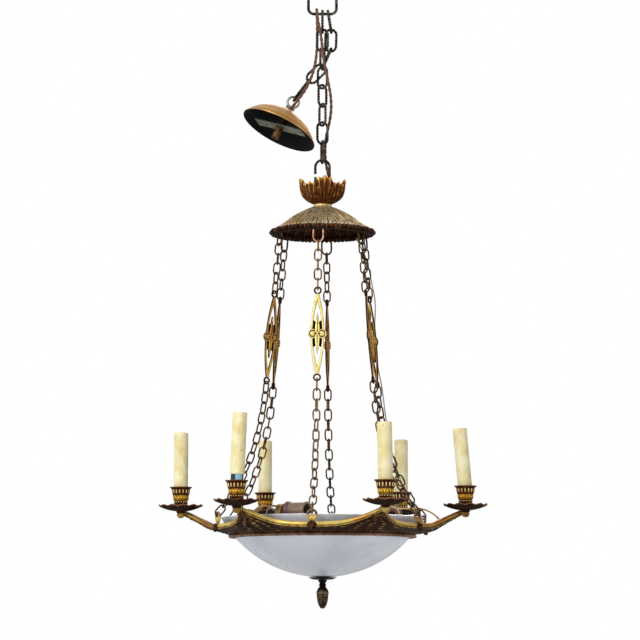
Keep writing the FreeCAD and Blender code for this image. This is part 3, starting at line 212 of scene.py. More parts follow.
# Lugs and the clasps under them
LUG_RADIUS = 194.0
LUG_LOW = -980.95
LUG_RING = 7.2
LUG_RING_WIRE = 2.3     # radius
LUG_RING_UP = 11.5
LUG_PLEATS = 7
LUG_PLEAT_LEAN = 17     # degrees from one to the next
CLASP = (8.2, 3.2, 7.6)         # half sizes
CLASP_LEAVES = 5
CLASP_OUT = 4.0
CLASP_DROP = 6.5

# Candle lights
PAN_LOW = -954.6
PAN_RADIUS = 38.0
PAN_FLOOR = 8.0
PAN_DEEP = 10.0
PAN_THICK = 1.4
PAN_LEAVES = 12
PAN_TURN = 15.0
PAN_SWELL = 1.2
PAN_KEEL = 0.9
HOLDER_LOW = -952.6
HOLDER_FOOT = ((5.0, 0), (9.6, 0), (10.4, 2), (11.3, 6), (11.7, 14.8), (12.1, 15.2))
HOLDER_BAND = ((12.2, 15.8), (13.7, 23.5))
HOLDER_MOUTH = (
    (13.7, 24.1), (14.2, 24.7), (16.2, 35.1), (17.6, 35.9), (19.3, 37.5), (19.1, 38.5), (14.7, 38.5),
    (14.4, 36.5), (12.6, 26.5), (11.2, 13), (10.8, 8), (8.0, 3), (5.0, 3),
)
HOLDER_TRIM = 16        # tongues, beads and diamonds round one holder
HALF_TURN = 11.25       # degrees that set beads and diamonds between the tongues
TONGUE_PLACE = (14.8, 30.3)     # radius and height above the holder's foot
TONGUE = (1.25, 3.2)            # radius, and how many times longer it is
TONGUE_LEAN = math.radians(11)
BEAD_PLACE = (11.4, 12.4)
BEAD = 1.25
DIAMOND_PLACE = (12.9, 19.6)
DIAMOND = 1.7
DIAMOND_SHAPE = (0.5, 1, 1.7, 1)
COVER_FOOT = -921.8
COVER_LONG = 102.0
COVER_RADIUS = 12.5
COVER_INSIDE = 10.8
WAX_ROOM = 0.35         # kept inside the cover's radius for the waves of the wax
LEAN_Z = -925.1
COVER_LEANS = (-1.0, -5.0, 0.0, 0.0, 0.0, 2.5)
COVER_LIFT = (0.0, 0.0, 0.0, 0.0, 0.0, 16.0)
LEAN_LIFT = 0.9         # rise of a cover's foot for each degree of lean
CARD_LEFT = (-0.1431, -0.1425)  # the blue patch on the socket that shows: its edges, in metres
CARD_RIGHT = (-0.1322, -0.1316)
CARD_BACK = (-0.2003, -0.2001)

# Bowl and finial
BOWL_MIDDLE = -869.3
BOWL_SPHERE = 200.0
BOWL_WALL = 9.0
BOWL_RIM = -967.3
BOWL_EDGE = 2.2
BOWL_HOLE = 5.0
BOWL_SHADE = (-1.07, -0.97)     # from its painted shade at the bottom to its painted glow at the rim, in metres
FINIAL_TOP = -1073.75
FINIAL_NECK = 12.0
FINIAL_STEM = (         # radius and height above its top
    (0, 20), (4.5, 20), (4.5, 0), (8.2, -0.2), (8.0, -1.4), (6.2, -3.4), (5.0, -5.6), (5.4, -7.4),
    (6.6, -8.6), (6.4, -9.6), (5.2, -10.6), (5.4, -12),
)
ACORN_HIGH = 37.5
ACORN_RADIUS = 10.6
ACORN_CAP = (           # radius, height above the shoulder and wear
    (7.6, -2.4, 0.1), (9.6, -5.8, 0.3), (10.7, -9.65, 0.6), (10.9, -10.65, 0.9), (10.6, -11.65, 0.3),
    (9.2, -11.85, 0.0),
)
ACORN_CAP_SHARE = 0.3   # of the acorn's height
SCALE_ROWS = 9
SCALES_AROUND = 12
SCALE = 2.2
SCALE_SHAPE = (0.42, 1.0, 1.25, 1)

# Loose canopy: where its loop hangs, and its heights from there
CANOPY_HANG = (-48.022, 24.386, -233.606)
CANOPY_ROLL = math.radians(26.0)
CANOPY_PITCH = math.radians(10.0)
CANOPY_APEX = -29.4
CANOPY_RIM = -65.4
CANOPY_RADIUS = 68.5
CANOPY_FLAT = 9.0
CANOPY_HOLE = 7.15
CANOPY_WALL = 1.6

# Room; the lights are in metres and watts
FLOOR_Z = -1900.0
FLOOR_REACH = 9000.0
ROOM_LIGHT = 0.4
LIGHTS = (              # name, place, aim, size and power
    ("key", (-2.2, -3.2, 1.2), (0, 0, -0.8), 1.6, 122),
    ("fill", (2.6, -2.6, 0.2), (0, 0, -0.8), 1.8, 10),
    ("back", (0.6, 2.8, 1.0), (0, 0, -0.7), 1.6, 40),
)

# Cords: the points of their routes, in metres
SUPPLY_CORD = 5.5
SUPPLY_ROUTE = (
    (0.0092, 0.0040, -0.4128), (0.0092, 0.0040, -0.4073), (0.0115, 0.0056, -0.3988),
    (0.0130, 0.0090, -0.3887), (0.0115, 0.0135, -0.3764), (0.0080, 0.0170, -0.3608),
    (0.0050, 0.0190, -0.3419), (0.0045, 0.0190, -0.3208), (0.0065, 0.0165, -0.3009),
    (0.0110, 0.0105, -0.2840), (0.0145, 0.0025, -0.2668), (0.0155, -0.0070, -0.2489),
    (0.0135, -0.0140, -0.2288), (0.0090, -0.0180, -0.2080), (0.0040, -0.0195, -0.1849),
    (0.0005, -0.0195, -0.1608), (-0.0015, -0.0190, -0.1390), (-0.0040, -0.0160, -0.1189),
    (-0.0080, -0.0115, -0.1029), (-0.0100, -0.0080, -0.0797), (-0.0100, 0.0080, -0.0797),
    (-0.0090, 0.0115, -0.1028), (-0.0090, 0.0140, -0.1236), (-0.0095, 0.0145, -0.1454),
    (-0.0115, 0.0130, -0.1671), (-0.0155, 0.0095, -0.1869), (-0.0215, 0.0055, -0.2047),
    (-0.0290, 0.0020, -0.2207), (-0.0380, -0.0005, -0.2345), (-0.0501, 0.0028, -0.2492),
    (-0.0552, 0.0113, -0.2540),
)
LAMP_WIRE = 2.2
LAMP_ROUTE = (
    (0.0595, 0.0297, -0.4804), (0.0656, 0.0348, -0.4932), (0.0752, 0.0425, -0.5098),
    (0.0815, 0.0477, -0.5309), (0.0856, 0.0485, -0.5549), (0.0913, 0.0478, -0.5789),
    (0.0927, 0.0496, -0.6029), (0.0911, 0.0532, -0.6279), (0.0923, 0.0565, -0.6544),
    (0.0944, 0.0580, -0.6813), (0.0975, 0.0584, -0.7073), (0.1023, 0.0578, -0.7303),
    (0.1059, 0.0573, -0.7538), (0.1086, 0.0591, -0.7783), (0.1120, 0.0618, -0.8028),
    (0.1163, 0.0649, -0.8268), (0.1212, 0.0682, -0.8499), (0.1272, 0.0717, -0.8724),
    (0.1344, 0.0759, -0.8945), (0.1425, 0.0809, -0.9155), (0.1523, 0.0868, -0.9361),
    (0.1633, 0.0933, -0.9547), (0.1669, 0.0960, -0.9796),
)
CORD_TURNS_EVERY = 20.0
CORD_STRAND = 1.85


# Colours and shared finishes
def colour(red, green, blue):
    """Linear colour from the usual 0 to 255 values."""
    linear = []
    for value in (red, green, blue):
        share = value / 255
        linear.append(share / 12.92 if share <= 0.04045 else ((share + 0.055) / 1.055) ** 2.4)
    return (*linear, 1.0)


def add(tree, kind, links=None, **settings):
    """A new node with its settings, its input values and its links."""
    made = tree.nodes.new(kind)
    for key, value in settings.items():
        setattr(made, key, value)
    for socket, value in (links or {}).items():
        if isinstance(value, bpy.types.NodeSocket):
            tree.links.new(value, made.inputs[socket])
        else:
            made.inputs[socket].default_value = value
    return made


def output(tree, kind, links=None, **settings):
    """The first output of a new node."""
    return add(tree, kind, links, **settings).outputs[0]


def maths(tree, operation, first, second=0.0):
    return output(tree, "ShaderNodeMath", {0: first, 1: second}, operation=operation)


def ranged(tree, value, low=0.0, high=1.0, first=0.0, last=1.0, way="LINEAR"):
    """A value carried from one range to another and held at its ends."""
    limits = {0: value, 1: low, 2: high, 3: first, 4: last}
    return output(tree, "ShaderNodeMapRange", limits, interpolation_type=way)


def blend_colours(tree, share, first, second, mode="MIX"):
    made = add(tree, "ShaderNodeMix", {0: share, 6: first, 7: second}, data_type="RGBA", blend_type=mode)
    return made.outputs[2]


def noise(tree, place, scale, detail=4.0, roughness=0.55, bent=0.0):
    links = {"Vector": place, "Scale": scale, "Detail": detail, "Roughness": roughness, "Distortion": bent}
    return add(tree, "ShaderNodeTexNoise", links).outputs["Fac"]


def object_place(tree):
    return add(tree, "ShaderNodeTexCoord").outputs["Object"]


def relief_of(tree):
    return add(tree, "ShaderNodeAttribute", attribute_name="relief").outputs["Fac"]


def shader_group(name, inputs, outputs):
    group = bpy.data.node_groups.new(name, "ShaderNodeTree")
    for label, kind, value in inputs:
        socket = group.interface.new_socket(label, in_out="INPUT", socket_type=kind)
        socket.default_value = value
    for label, kind in outputs:
        group.interface.new_socket(label, in_out="OUTPUT", socket_type=kind)
    return group, group.nodes.new("NodeGroupInput").outputs, group.nodes.new("NodeGroupOutput").inputs


def aged_metal_group():
    """Bright metal where it stands out and is rubbed and where painted light falls, dark patina in the hollows
    deepened by painted shade, with a cast grain.
    """
    group, given, made = shader_group(
        "aged metal",
        (
            ("Worn", "NodeSocketColor", (0.8, 0.6, 0.3, 1)),
            ("Warm", "NodeSocketColor", (0.6, 0.4, 0.2, 1)),
            ("Patina", "NodeSocketColor", (0.1, 0.06, 0.03, 1)),
            ("Relief", "NodeSocketFloat", 0.5),
            ("Wear", "NodeSocketFloat", 0.0),
            ("Grain", "NodeSocketFloat", 90.0),
        ),
        (("Colour", "NodeSocketColor"), ("Roughness", "NodeSocketFloat"), ("Height", "NodeSocketFloat")),
    )

    def times(value, factor):
        return maths(group, "MULTIPLY", value, factor)

    def plus(first, second):
        return maths(group, "ADD", first, second)

    place = object_place(group)
    drift = noise(group, place, 14.0, 2.0)
    broad = noise(group, place, given["Grain"])
    fine = noise(group, place, times(given["Grain"], 7.0), 3.0)
    patches = times(maths(group, "SUBTRACT", broad, 0.5), 1.3)
    specks = times(maths(group, "SUBTRACT", fine, 0.5), 0.8)
    # The relief brings painted light and shade along with the wear: lighter on faces that look up, darker
    # underneath and in hollows.
    wear_and_light = plus(plus(given["Relief"], given["Wear"]), plus(patches, specks))
    mask = ranged(group, wear_and_light, 0.15, 0.85, way="SMOOTHSTEP")
    bright = blend_colours(group, ranged(group, drift, 0.38, 0.62), given["Worn"], given["Warm"])
    tone = blend_colours(group, mask, given["Patina"], bright)
    shade = ranged(group, fine, 0.25, 0.75, 0.7, 1.15)
    group.links.new(blend_colours(group, 1.0, tone, shade, "MULTIPLY"), made["Colour"])
    rough = ranged(group, mask, first=0.62, last=0.36)
    group.links.new(plus(rough, times(specks, 0.25)), made["Roughness"])
    group.links.new(plus(fine, times(broad, 0.5)), made["Height"])
    return group


AGED_METAL = aged_metal_group()


def new_material(name, **constants):
    material = bpy.data.materials.new(name)
    material.use_nodes = True
    shader = material.node_tree.nodes["Principled BSDF"]
    for socket, value in constants.items():
        shader.inputs[socket.replace("_", " ")].default_value = value
    return material, material.node_tree, shader


def feed(tree, shader, **values):
    for socket, value in values.items():
        tree.links.new(value, shader.inputs[socket.replace("_", " ")])


def bump(tree, shader, height, strength, distance):
    links = {"Strength": strength, "Distance": distance, "Height": height}
    feed(tree, shader, Normal=add(tree, "ShaderNodeBump", links).outputs["Normal"])


def aged_metal(name, worn, warm, patina, wear=0.0, grain=90.0, relief=None, metallic=0.5, shine=0.3):
    """A cast or wrought metal; with no relief given it follows the piece's own relief attribute."""
    tint = colour(*warm)
    material, tree, shader = new_material(
        name, Metallic=metallic, Specular_IOR_Level=shine, Specular_Tint=tint)
    finish = add(tree, "ShaderNodeGroup", {
        "Worn": colour(*worn), "Warm": tint, "Patina": colour(*patina), "Wear": wear, "Grain": grain,
        "Relief": relief_of(tree) if relief is None else relief,
    }, node_tree=AGED_METAL).outputs
    feed(tree, shader, Base_Color=finish["Colour"], Roughness=finish["Roughness"])
    bump(tree, shader, finish["Height"], 0.3, 0.0006)
    return material


def dark_bronze(name, worn, warm, patina, wear=0.0, grain=140.0, relief=None):
    """Bronze under a dull dark patina, so that its hollows stay deep."""
    return aged_metal(name, worn, warm, patina, wear, grain, relief, 0.15, 0.2)


def alabaster():
    """Cloudy pale stone with faint grey drifts and a few wandering veins, with painted light: darker towards
    its bottom as painted shade and paler towards its rim as a painted glow.
    """
    material, tree, shader = new_material(
        "alabaster", Roughness=0.34, Subsurface_Weight=0.6, Subsurface_Scale=0.02,
        Subsurface_Radius=(1.0, 0.9, 0.8))
    place = object_place(tree)
    drift = noise(tree, place, 5.0, 5.0, 0.5, 1.6)
    cloud = ranged(tree, drift, 0.35, 0.7)
    base = blend_colours(tree, cloud, colour(190, 196, 208), colour(214, 217, 224))
    vein = noise(tree, place, 9.0, 6.0, 0.5, 2.2)
    line = maths(tree, "ABSOLUTE", maths(tree, "SUBTRACT", vein, 0.5))
    veins = ranged(tree, line, 0.0, 0.025, 0.35, 0.0)
    stone = blend_colours(tree, veins, base, colour(168, 172, 182))
    up = add(tree, "ShaderNodeSeparateXYZ", {0: place}).outputs["Z"]
    # Painted light: the stone darkens towards its bottom and brightens past its own colour at the rim.
    painted_light_by_height = ranged(tree, up, *BOWL_SHADE, 0.72, 1.22)
    feed(tree, shader, Base_Color=blend_colours(tree, 1.0, stone, painted_light_by_height, "MULTIPLY"))
    bump(tree, shader, drift, 0.05, 0.002)
    return material


def wax():
    """Mottled cream wax with brownish specks and a soft glow through."""
    material, tree, shader = new_material(
        "wax", Roughness=0.5, Subsurface_Weight=0.2, Subsurface_Scale=0.004)
    place = object_place(tree)
    mottle = ranged(tree, noise(tree, place, 48.0, 5.0), 0.3, 0.62)
    base = blend_colours(tree, mottle, colour(220, 202, 136), colour(242, 232, 190))
    speck = add(tree, "ShaderNodeTexVoronoi", {"Vector": place, "Scale": 42.0}).outputs["Distance"]
    spots = ranged(tree, speck, 0.03, 0.11, 0.75, 0.0)
    feed(tree, shader, Base_Color=blend_colours(tree, spots, base, colour(176, 140, 84)))
    bump(tree, shader, noise(tree, place, 130.0, 3.0), 0.18, 0.0008)
    return material


def socket_card():
    """Black insulating sleeve, with a plain pale-blue patch on the one that shows."""
    material, tree, shader = new_material("socket_card", Roughness=0.55)
    place = object_place(tree)
    apart = add(tree, "ShaderNodeSeparateXYZ", {0: place}).outputs
    left = ranged(tree, apart["X"], *CARD_LEFT)
    right = ranged(tree, apart["X"], *CARD_RIGHT, 1.0, 0.0)
    front = ranged(tree, apart["Y"], *CARD_BACK, 1.0, 0.0)
    patch = maths(tree, "MULTIPLY", maths(tree, "MULTIPLY", left, right), front)
    tone = blend_colours(tree, noise(tree, place, 200.0), colour(14, 15, 17), colour(34, 36, 40))
    feed(tree, shader, Base_Color=blend_colours(tree, patch, tone, colour(140, 196, 220)))
    bump(tree, shader, noise(tree, place, 400.0), 0.1, 0.0004)
    return material


def spun_brass():
    """Brown-gold spun sheet with faint rings round the canopy's own axis."""
    material, tree, shader = new_material("spun_brass", Metallic=0.5)
    links = {"W": relief_of(tree), "Scale": 220.0, "Detail": 3.0}
    rings = add(tree, "ShaderNodeTexNoise", links, noise_dimensions="1D").outputs["Fac"]
    patches = maths(tree, "MULTIPLY", noise(tree, object_place(tree), 22.0), 0.75)
    both = maths(tree, "ADD", maths(tree, "MULTIPLY", rings, 0.25), patches)
    tone = blend_colours(tree, ranged(tree, both, 0.32, 0.7), colour(138, 92, 40), colour(214, 168, 90))
    feed(tree, shader, Base_Color=tone, Roughness=ranged(tree, both, first=0.5, last=0.32))
    bump(tree, shader, rings, 0.12, 0.0003)
    return material


def plain_coat(name, dark, light, roughness, scale, metallic=0.0, shine=0.5):
    """A coat or thread with a fine mottled tone."""
    material, tree, shader = new_material(name, Metallic=metallic, Specular_IOR_Level=shine)
    grain = noise(tree, object_place(tree), scale)
    tone = blend_colours(tree, grain, colour(*dark), colour(*light))
    rough = ranged(tree, grain, first=roughness - 0.1, last=roughness + 0.1)
    feed(tree, shader, Base_Color=tone, Roughness=rough)
    bump(tree, shader, grain, 0.2, 0.0005)
    return material


SOFT = {"metallic": 0.35, "shine": 0.2}
MATT = {"metallic": 0.05, "shine": 0.05}
GILT = aged_metal("gilt", (226, 204, 114), (166, 122, 60), (76, 46, 16), 0.08, 120.0)
GILT_BROWN = aged_metal("gilt_brown", (196, 160, 84), (160, 110, 54), (68, 40, 16), 0.02, 120.0)
# Lighter finish of the bar nearest the viewer: painted light.
BAR_LIT = aged_metal("bar_lit", (238, 224, 156), (230, 208, 126), (70, 42, 16), 0.1, 110.0)
BAR_BROWN = aged_metal("bar_brown", (224, 184, 98), (190, 136, 68), (44, 24, 10), -0.05, 110.0, **SOFT)
BAR_RECESS = dark_bronze("bar_recess", (50, 30, 16), (40, 24, 12), (14, 8, 5), -0.2, 140.0, 0.4)
CARVED_BRONZE = aged_metal(
    "carved_bronze", (190, 146, 84), (148, 102, 54), (38, 21, 8), -0.05, 140.0, **MATT)
LEAF_BRONZE = aged_metal("leaf_bronze", (240, 196, 100), (206, 144, 66), (90, 48, 25), -0.05, 140.0, **SOFT)
RIB_BRONZE = aged_metal("rib_bronze", (210, 198, 164), (180, 150, 102), (90, 68, 42), 0.0, 110.0)
RIB_DARK = dark_bronze("rib_dark", (146, 100, 58), (112, 66, 36), (36, 19, 11), -0.12, 120.0)
ROLL_BRONZE = dark_bronze("roll_bronze", (104, 68, 42), (74, 43, 26), (26, 14, 9), -0.22, 120.0)
BEAD_PALE = aged_metal("bead_pale", (232, 220, 190), (206, 184, 140), (110, 84, 54), 0.2, 140.0)
PAN_BRONZE = aged_metal("pan_bronze", (150, 104, 62), (110, 68, 38), (34, 18, 9), -0.12, 140.0, **MATT)
BRIGHT_BRASS = aged_metal("bright_brass", (246, 222, 160), (230, 190, 112), (120, 78, 26), 0.2, 120.0)
CUP_GOLD = aged_metal("cup_gold", (226, 188, 72), (206, 148, 50), (110, 68, 22), 0.05, 170.0)
CUP_BROWN = dark_bronze("cup_brown", (150, 98, 54), (118, 70, 36), (56, 30, 16), -0.05, 150.0)
NECK_GOLD = aged_metal("neck_gold", (240, 212, 146), (222, 178, 104), (128, 86, 40), 0.15, 90.0, 0.6)
# Lighter finish of the links of the chain nearest the viewer: painted light.
CHAIN_LIT = aged_metal(
    "chain_lit", (176, 148, 98), (146, 112, 66), (58, 38, 22), -0.05, 140.0, 0.5, 0.4, 0.2)
CHAIN_BRONZE = dark_bronze("chain_bronze", (140, 106, 66), (108, 76, 46), (32, 20, 12), -0.08, 140.0, 0.5)
# Lighter finish of the jump ring nearest the viewer: painted light.
RING_LIT = aged_metal("ring_lit", (222, 172, 140), (196, 138, 104), (92, 56, 36), 0.1, 140.0, 0.5)
HEAVY_IRON = dark_bronze("heavy_iron", (152, 144, 124), (104, 98, 88), (20, 20, 23), -0.1, 170.0, 0.42)
BASE_BRONZE = dark_bronze("base_bronze", (170, 132, 104), (126, 90, 66), (66, 42, 29), -0.02, 110.0)
LUG_BROWN = dark_bronze("lug_brown", (150, 124, 106), (112, 84, 66), (36, 23, 16), -0.1, 140.0)
FINIAL_BRONZE = dark_bronze("finial_bronze", (150, 132, 100), (112, 94, 64), (20, 15, 11), -0.2, 160.0)
STEEL = aged_metal("steel", (176, 174, 168), (150, 146, 138), (76, 72, 66), 0.2, 110.0, 0.5)
STRAP_GREY = aged_metal("strap_grey", (172, 176, 162), (138, 138, 122), (52, 50, 42), 0.1, 120.0, 0.5)
STEM_BROWN = aged_metal("stem_brown", (158, 124, 84), (118, 84, 50), (44, 28, 18), 0.0, 130.0, 0.5)
BRACKET_GOLD = aged_metal("bracket_gold", (222, 196, 140), (190, 150, 90), (90, 60, 30), 0.1, 120.0, 0.5)
HOLDER_BRASS = plain_coat("holder_brass", (78, 62, 50), (164, 142, 122), 0.32, 45.0, 0.5, 0.3)
HOLDER_COPPER = plain_coat("holder_copper", (66, 46, 44), (140, 104, 98), 0.36, 45.0, 0.5, 0.3)
PLATE_BLACK = plain_coat("plate_black", (5, 5, 6), (16, 15, 15), 0.6, 160.0, 0.0, 0.1)
INSIDE_BLACK = plain_coat("inside_black", (5, 4, 5), (15, 12, 12), 0.7, 60.0, 0.0, 0.12)
CORD_SILK = plain_coat("cord_silk", (72, 46, 34), (132, 92, 72), 0.7, 500.0, 0.0, 0.2)
WIRE_CREAM = plain_coat("wire_cream", (150, 138, 114), (198, 188, 164), 0.5, 200.0)
ALABASTER = alabaster()
WAX = wax()
SOCKET_CARD = socket_card()
SPUN_BRASS = spun_brass()


# Making pieces
def outwards(azimuth):
    """Horizontal unit vector at an azimuth counted in degrees from the viewer's side towards the right."""
    angle = math.radians(azimuth)
    return Vector((math.sin(angle), -math.cos(angle), 0))


def sideways(azimuth):
    angle = math.radians(azimuth)
    return Vector((math.cos(angle), math.sin(angle), 0))


def axes(origin, x_axis, z_axis):
    x = Vector(x_axis).normalized()
    z = Vector(z_axis).normalized()
    y = z.cross(x)
    turn = Matrix((x, y, z)).transposed().to_4x4()
    return Matrix.Translation(Vector(origin)) @ turn


def at_azimuth(azimuth, radius=0.0):
    """Frame with +X outwards at the azimuth and +Z up."""
    return axes(outwards(azimuth) * radius, outwards(azimuth), UP)


class Form:
    """Points in millimetres, faces with their material number, and each point's height in the relief."""

    def __init__(self):
        self.points = []
        self.faces = []
        self.paint = []
        self.relief = []

    def grid(self, rows, around=False, along=False, paint=0):
        """Quads between rows of (point, relief); around closes each row, along the last row to the first."""
        start = len(self.points)
        wide = len(rows[0])
        for row in rows:
            for point, height in row:
                self.points.append(Vector(point))
                self.relief.append(height)
        for a in range(len(rows) - (0 if along else 1)):
            b = (a + 1) % len(rows)
            for c in range(wide - (0 if around else 1)):
                d = (c + 1) % wide
                corners = (a * wide + c, a * wide + d, b * wide + d, b * wide + c)
                self.faces.append([start + k for k in corners])
                self.paint.append(paint)
        return self

    def put(self, other, matrix=Matrix(), paint=None):
        start = len(self.points)
        self.points += [matrix @ point for point in other.points]
        self.faces += [[start + k for k in face] for face in other.faces]
        self.paint += other.paint if paint is None else [paint] * len(other.paint)
        self.relief += other.relief
        return self

    def mesh(self, name, materials, smooth=40.0, rub_and_shade=0.9):
        made = bpy.data.meshes.new(name)
        made.from_pydata([point * MM for point in self.points], [], self.faces)
        made.polygons.foreach_set("material_index", self.paint)
        made.attributes.new("paint", "INT", "FACE").data.foreach_set("value", self.paint)
        made.attributes.new("relief", "FLOAT", "POINT").data.foreach_set("value", self.relief)
        for material in materials:
            made.materials.append(material)
        shell = opened(made, POINT_WELD)
        bmesh.ops.dissolve_degenerate(shell, edges=shell.edges, dist=POINT_WELD * MM / 4)
        bmesh.ops.recalc_face_normals(shell, faces=shell.faces)
        # The relief takes wear on edges, patina and painted shade in hollows, and painted light and shade from
        # the way each face looks.
        if rub_and_shade:
            wear_and_painted_light(shell, rub_and_shade * MM)
        shell.to_mesh(made)
        shell.free()
        made.shade_smooth()
        made.set_sharp_from_angle(angle=math.radians(smooth))
        return made

    def piece(self, name, materials, smooth=40.0, rub_and_shade=0.9):
        return linked(name, self.mesh(name, materials, smooth, rub_and_shade))


def opened(mesh, weld):
    """A mesh opened for work, its points merged where they lie nearer than the weld."""
    shell = bmesh.new()
    shell.from_mesh(mesh)
    bmesh.ops.remove_doubles(shell, verts=shell.verts, dist=weld * MM)
    return shell


def wear_and_painted_light(shell, size):
    """Raises the relief on worn convex edges and, as painted light, where a face looks up; lowers it in
    hollows, for patina and painted shade, and underneath, as painted shade.
    """
    height = shell.verts.layers.float["relief"]
    shell.normal_update()
    for point in shell.verts:
        bend = 0.0
        for edge in point.link_edges:
            step = edge.other_vert(point).co - point.co
            bend -= 2 * point.normal.dot(step) / max(step.length_squared, 1e-12)
        bend *= size / max(1, len(point.link_edges))
        # Painted light and shade: the last term lightens faces that look up and darkens those that look down.
        point[height] += max(-EDGE_WEAR_AND_SHADE, min(EDGE_WEAR_AND_SHADE, bend)) + SKY_PAINTED_LIGHT * point.normal.z


def linked(name, data):
    made = bpy.data.objects.new(name, data)
    bpy.context.scene.collection.objects.link(made)
    return made


def polar(angle, radius, z):
    return radius * math.cos(angle), radius * math.sin(angle), z


def turned(profile, steps=64, paint=None, relief=0.5):
    """A turned form from a closed loop of (radius, height) points; relief is one value or one for each."""
    form = Form()
    count = len(profile)
    paint = paint or [0] * count
    heights = relief if isinstance(relief, (list, tuple)) else [relief] * count
    angles = [TAU * n / steps for n in range(steps)]
    for k in range(count):
        last = (k + 1) % count
        if profile[k][0] < 1e-6 and profile[last][0] < 1e-6:
            continue
        rows = []
        for end in (k, last):
            radius, z = profile[end]
            rows.append([(polar(a, radius, z), heights[end]) for a in angles])
        form.grid(rows, around=True, paint=paint[k])
    return form


def raised_by(profile, z):
    """A profile of (radius, height) points set at a height."""
    return [(radius, z + up) for radius, up in profile]


def arc(middle, radius, start, end, count):
    """Points of an arc in a turned profile; angles in degrees."""
    angles = [math.radians(start + (end - start) * n / count) for n in range(count + 1)]
    return [(middle[0] + radius * math.cos(a), middle[1] + radius * math.sin(a)) for a in angles]


def ball(middle, radius, stretch=1.0, steps=10):
    profile = [(radius * math.sin(math.pi * k / steps), -radius * math.cos(math.pi * k / steps) * stretch)
               for k in range(steps + 1)]
    profile[0] = (0.0, profile[0][1])
    profile[-1] = (0.0, profile[-1][1])
    return Form().put(turned(profile, steps * 2), Matrix.Translation(Vector(middle)))


def dress(piece, body, nodes):
    """Hangs a piece on its body, in place of its CAD nodes where it has any."""
    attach(piece, body)
    if nodes:
        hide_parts(*nodes)


# Geometry node trees
def geometry_tree(name, inputs):
    tree = bpy.data.node_groups.new(name, "GeometryNodeTree")
    tree.interface.new_socket("Geometry", in_out="INPUT", socket_type="NodeSocketGeometry")
    for label, kind, value in inputs:
        socket = tree.interface.new_socket(label, in_out="INPUT", socket_type=kind)
        if value is not None:
            socket.default_value = value
    tree.interface.new_socket("Geometry", in_out="OUTPUT", socket_type="NodeSocketGeometry")
    return tree, tree.nodes.new("NodeGroupInput").outputs, tree.nodes.new("NodeGroupOutput").inputs


def attribute(tree, name, kind):
    return output(tree, "GeometryNodeInputNamedAttribute", {"Name": name}, data_type=kind)


def close_tree(tree, copies, material, made, under=None):
    """Makes the copies real and paints them; faces with a paint number take the second material."""
    real = output(tree, "GeometryNodeRealizeInstances", {0: copies})
    painted = output(tree, "GeometryNodeSetMaterial", {"Geometry": real, "Material": material})
    if under is not None:
        links = {"Geometry": painted, "Selection": attribute(tree, "paint", "INT"), "Material": under}
        painted = output(tree, "GeometryNodeSetMaterial", links)
    tree.links.new(painted, made["Geometry"])


def vector_maths(tree, operation, *values):
    made = add(tree, "ShaderNodeVectorMath", dict(enumerate(values)), operation=operation)
    return made.outputs["Value" if operation == "DOT_PRODUCT" else "Vector"]


def scaled(tree, vector, scale):
    return output(tree, "ShaderNodeVectorMath", {0: vector, "Scale": scale}, operation="SCALE")


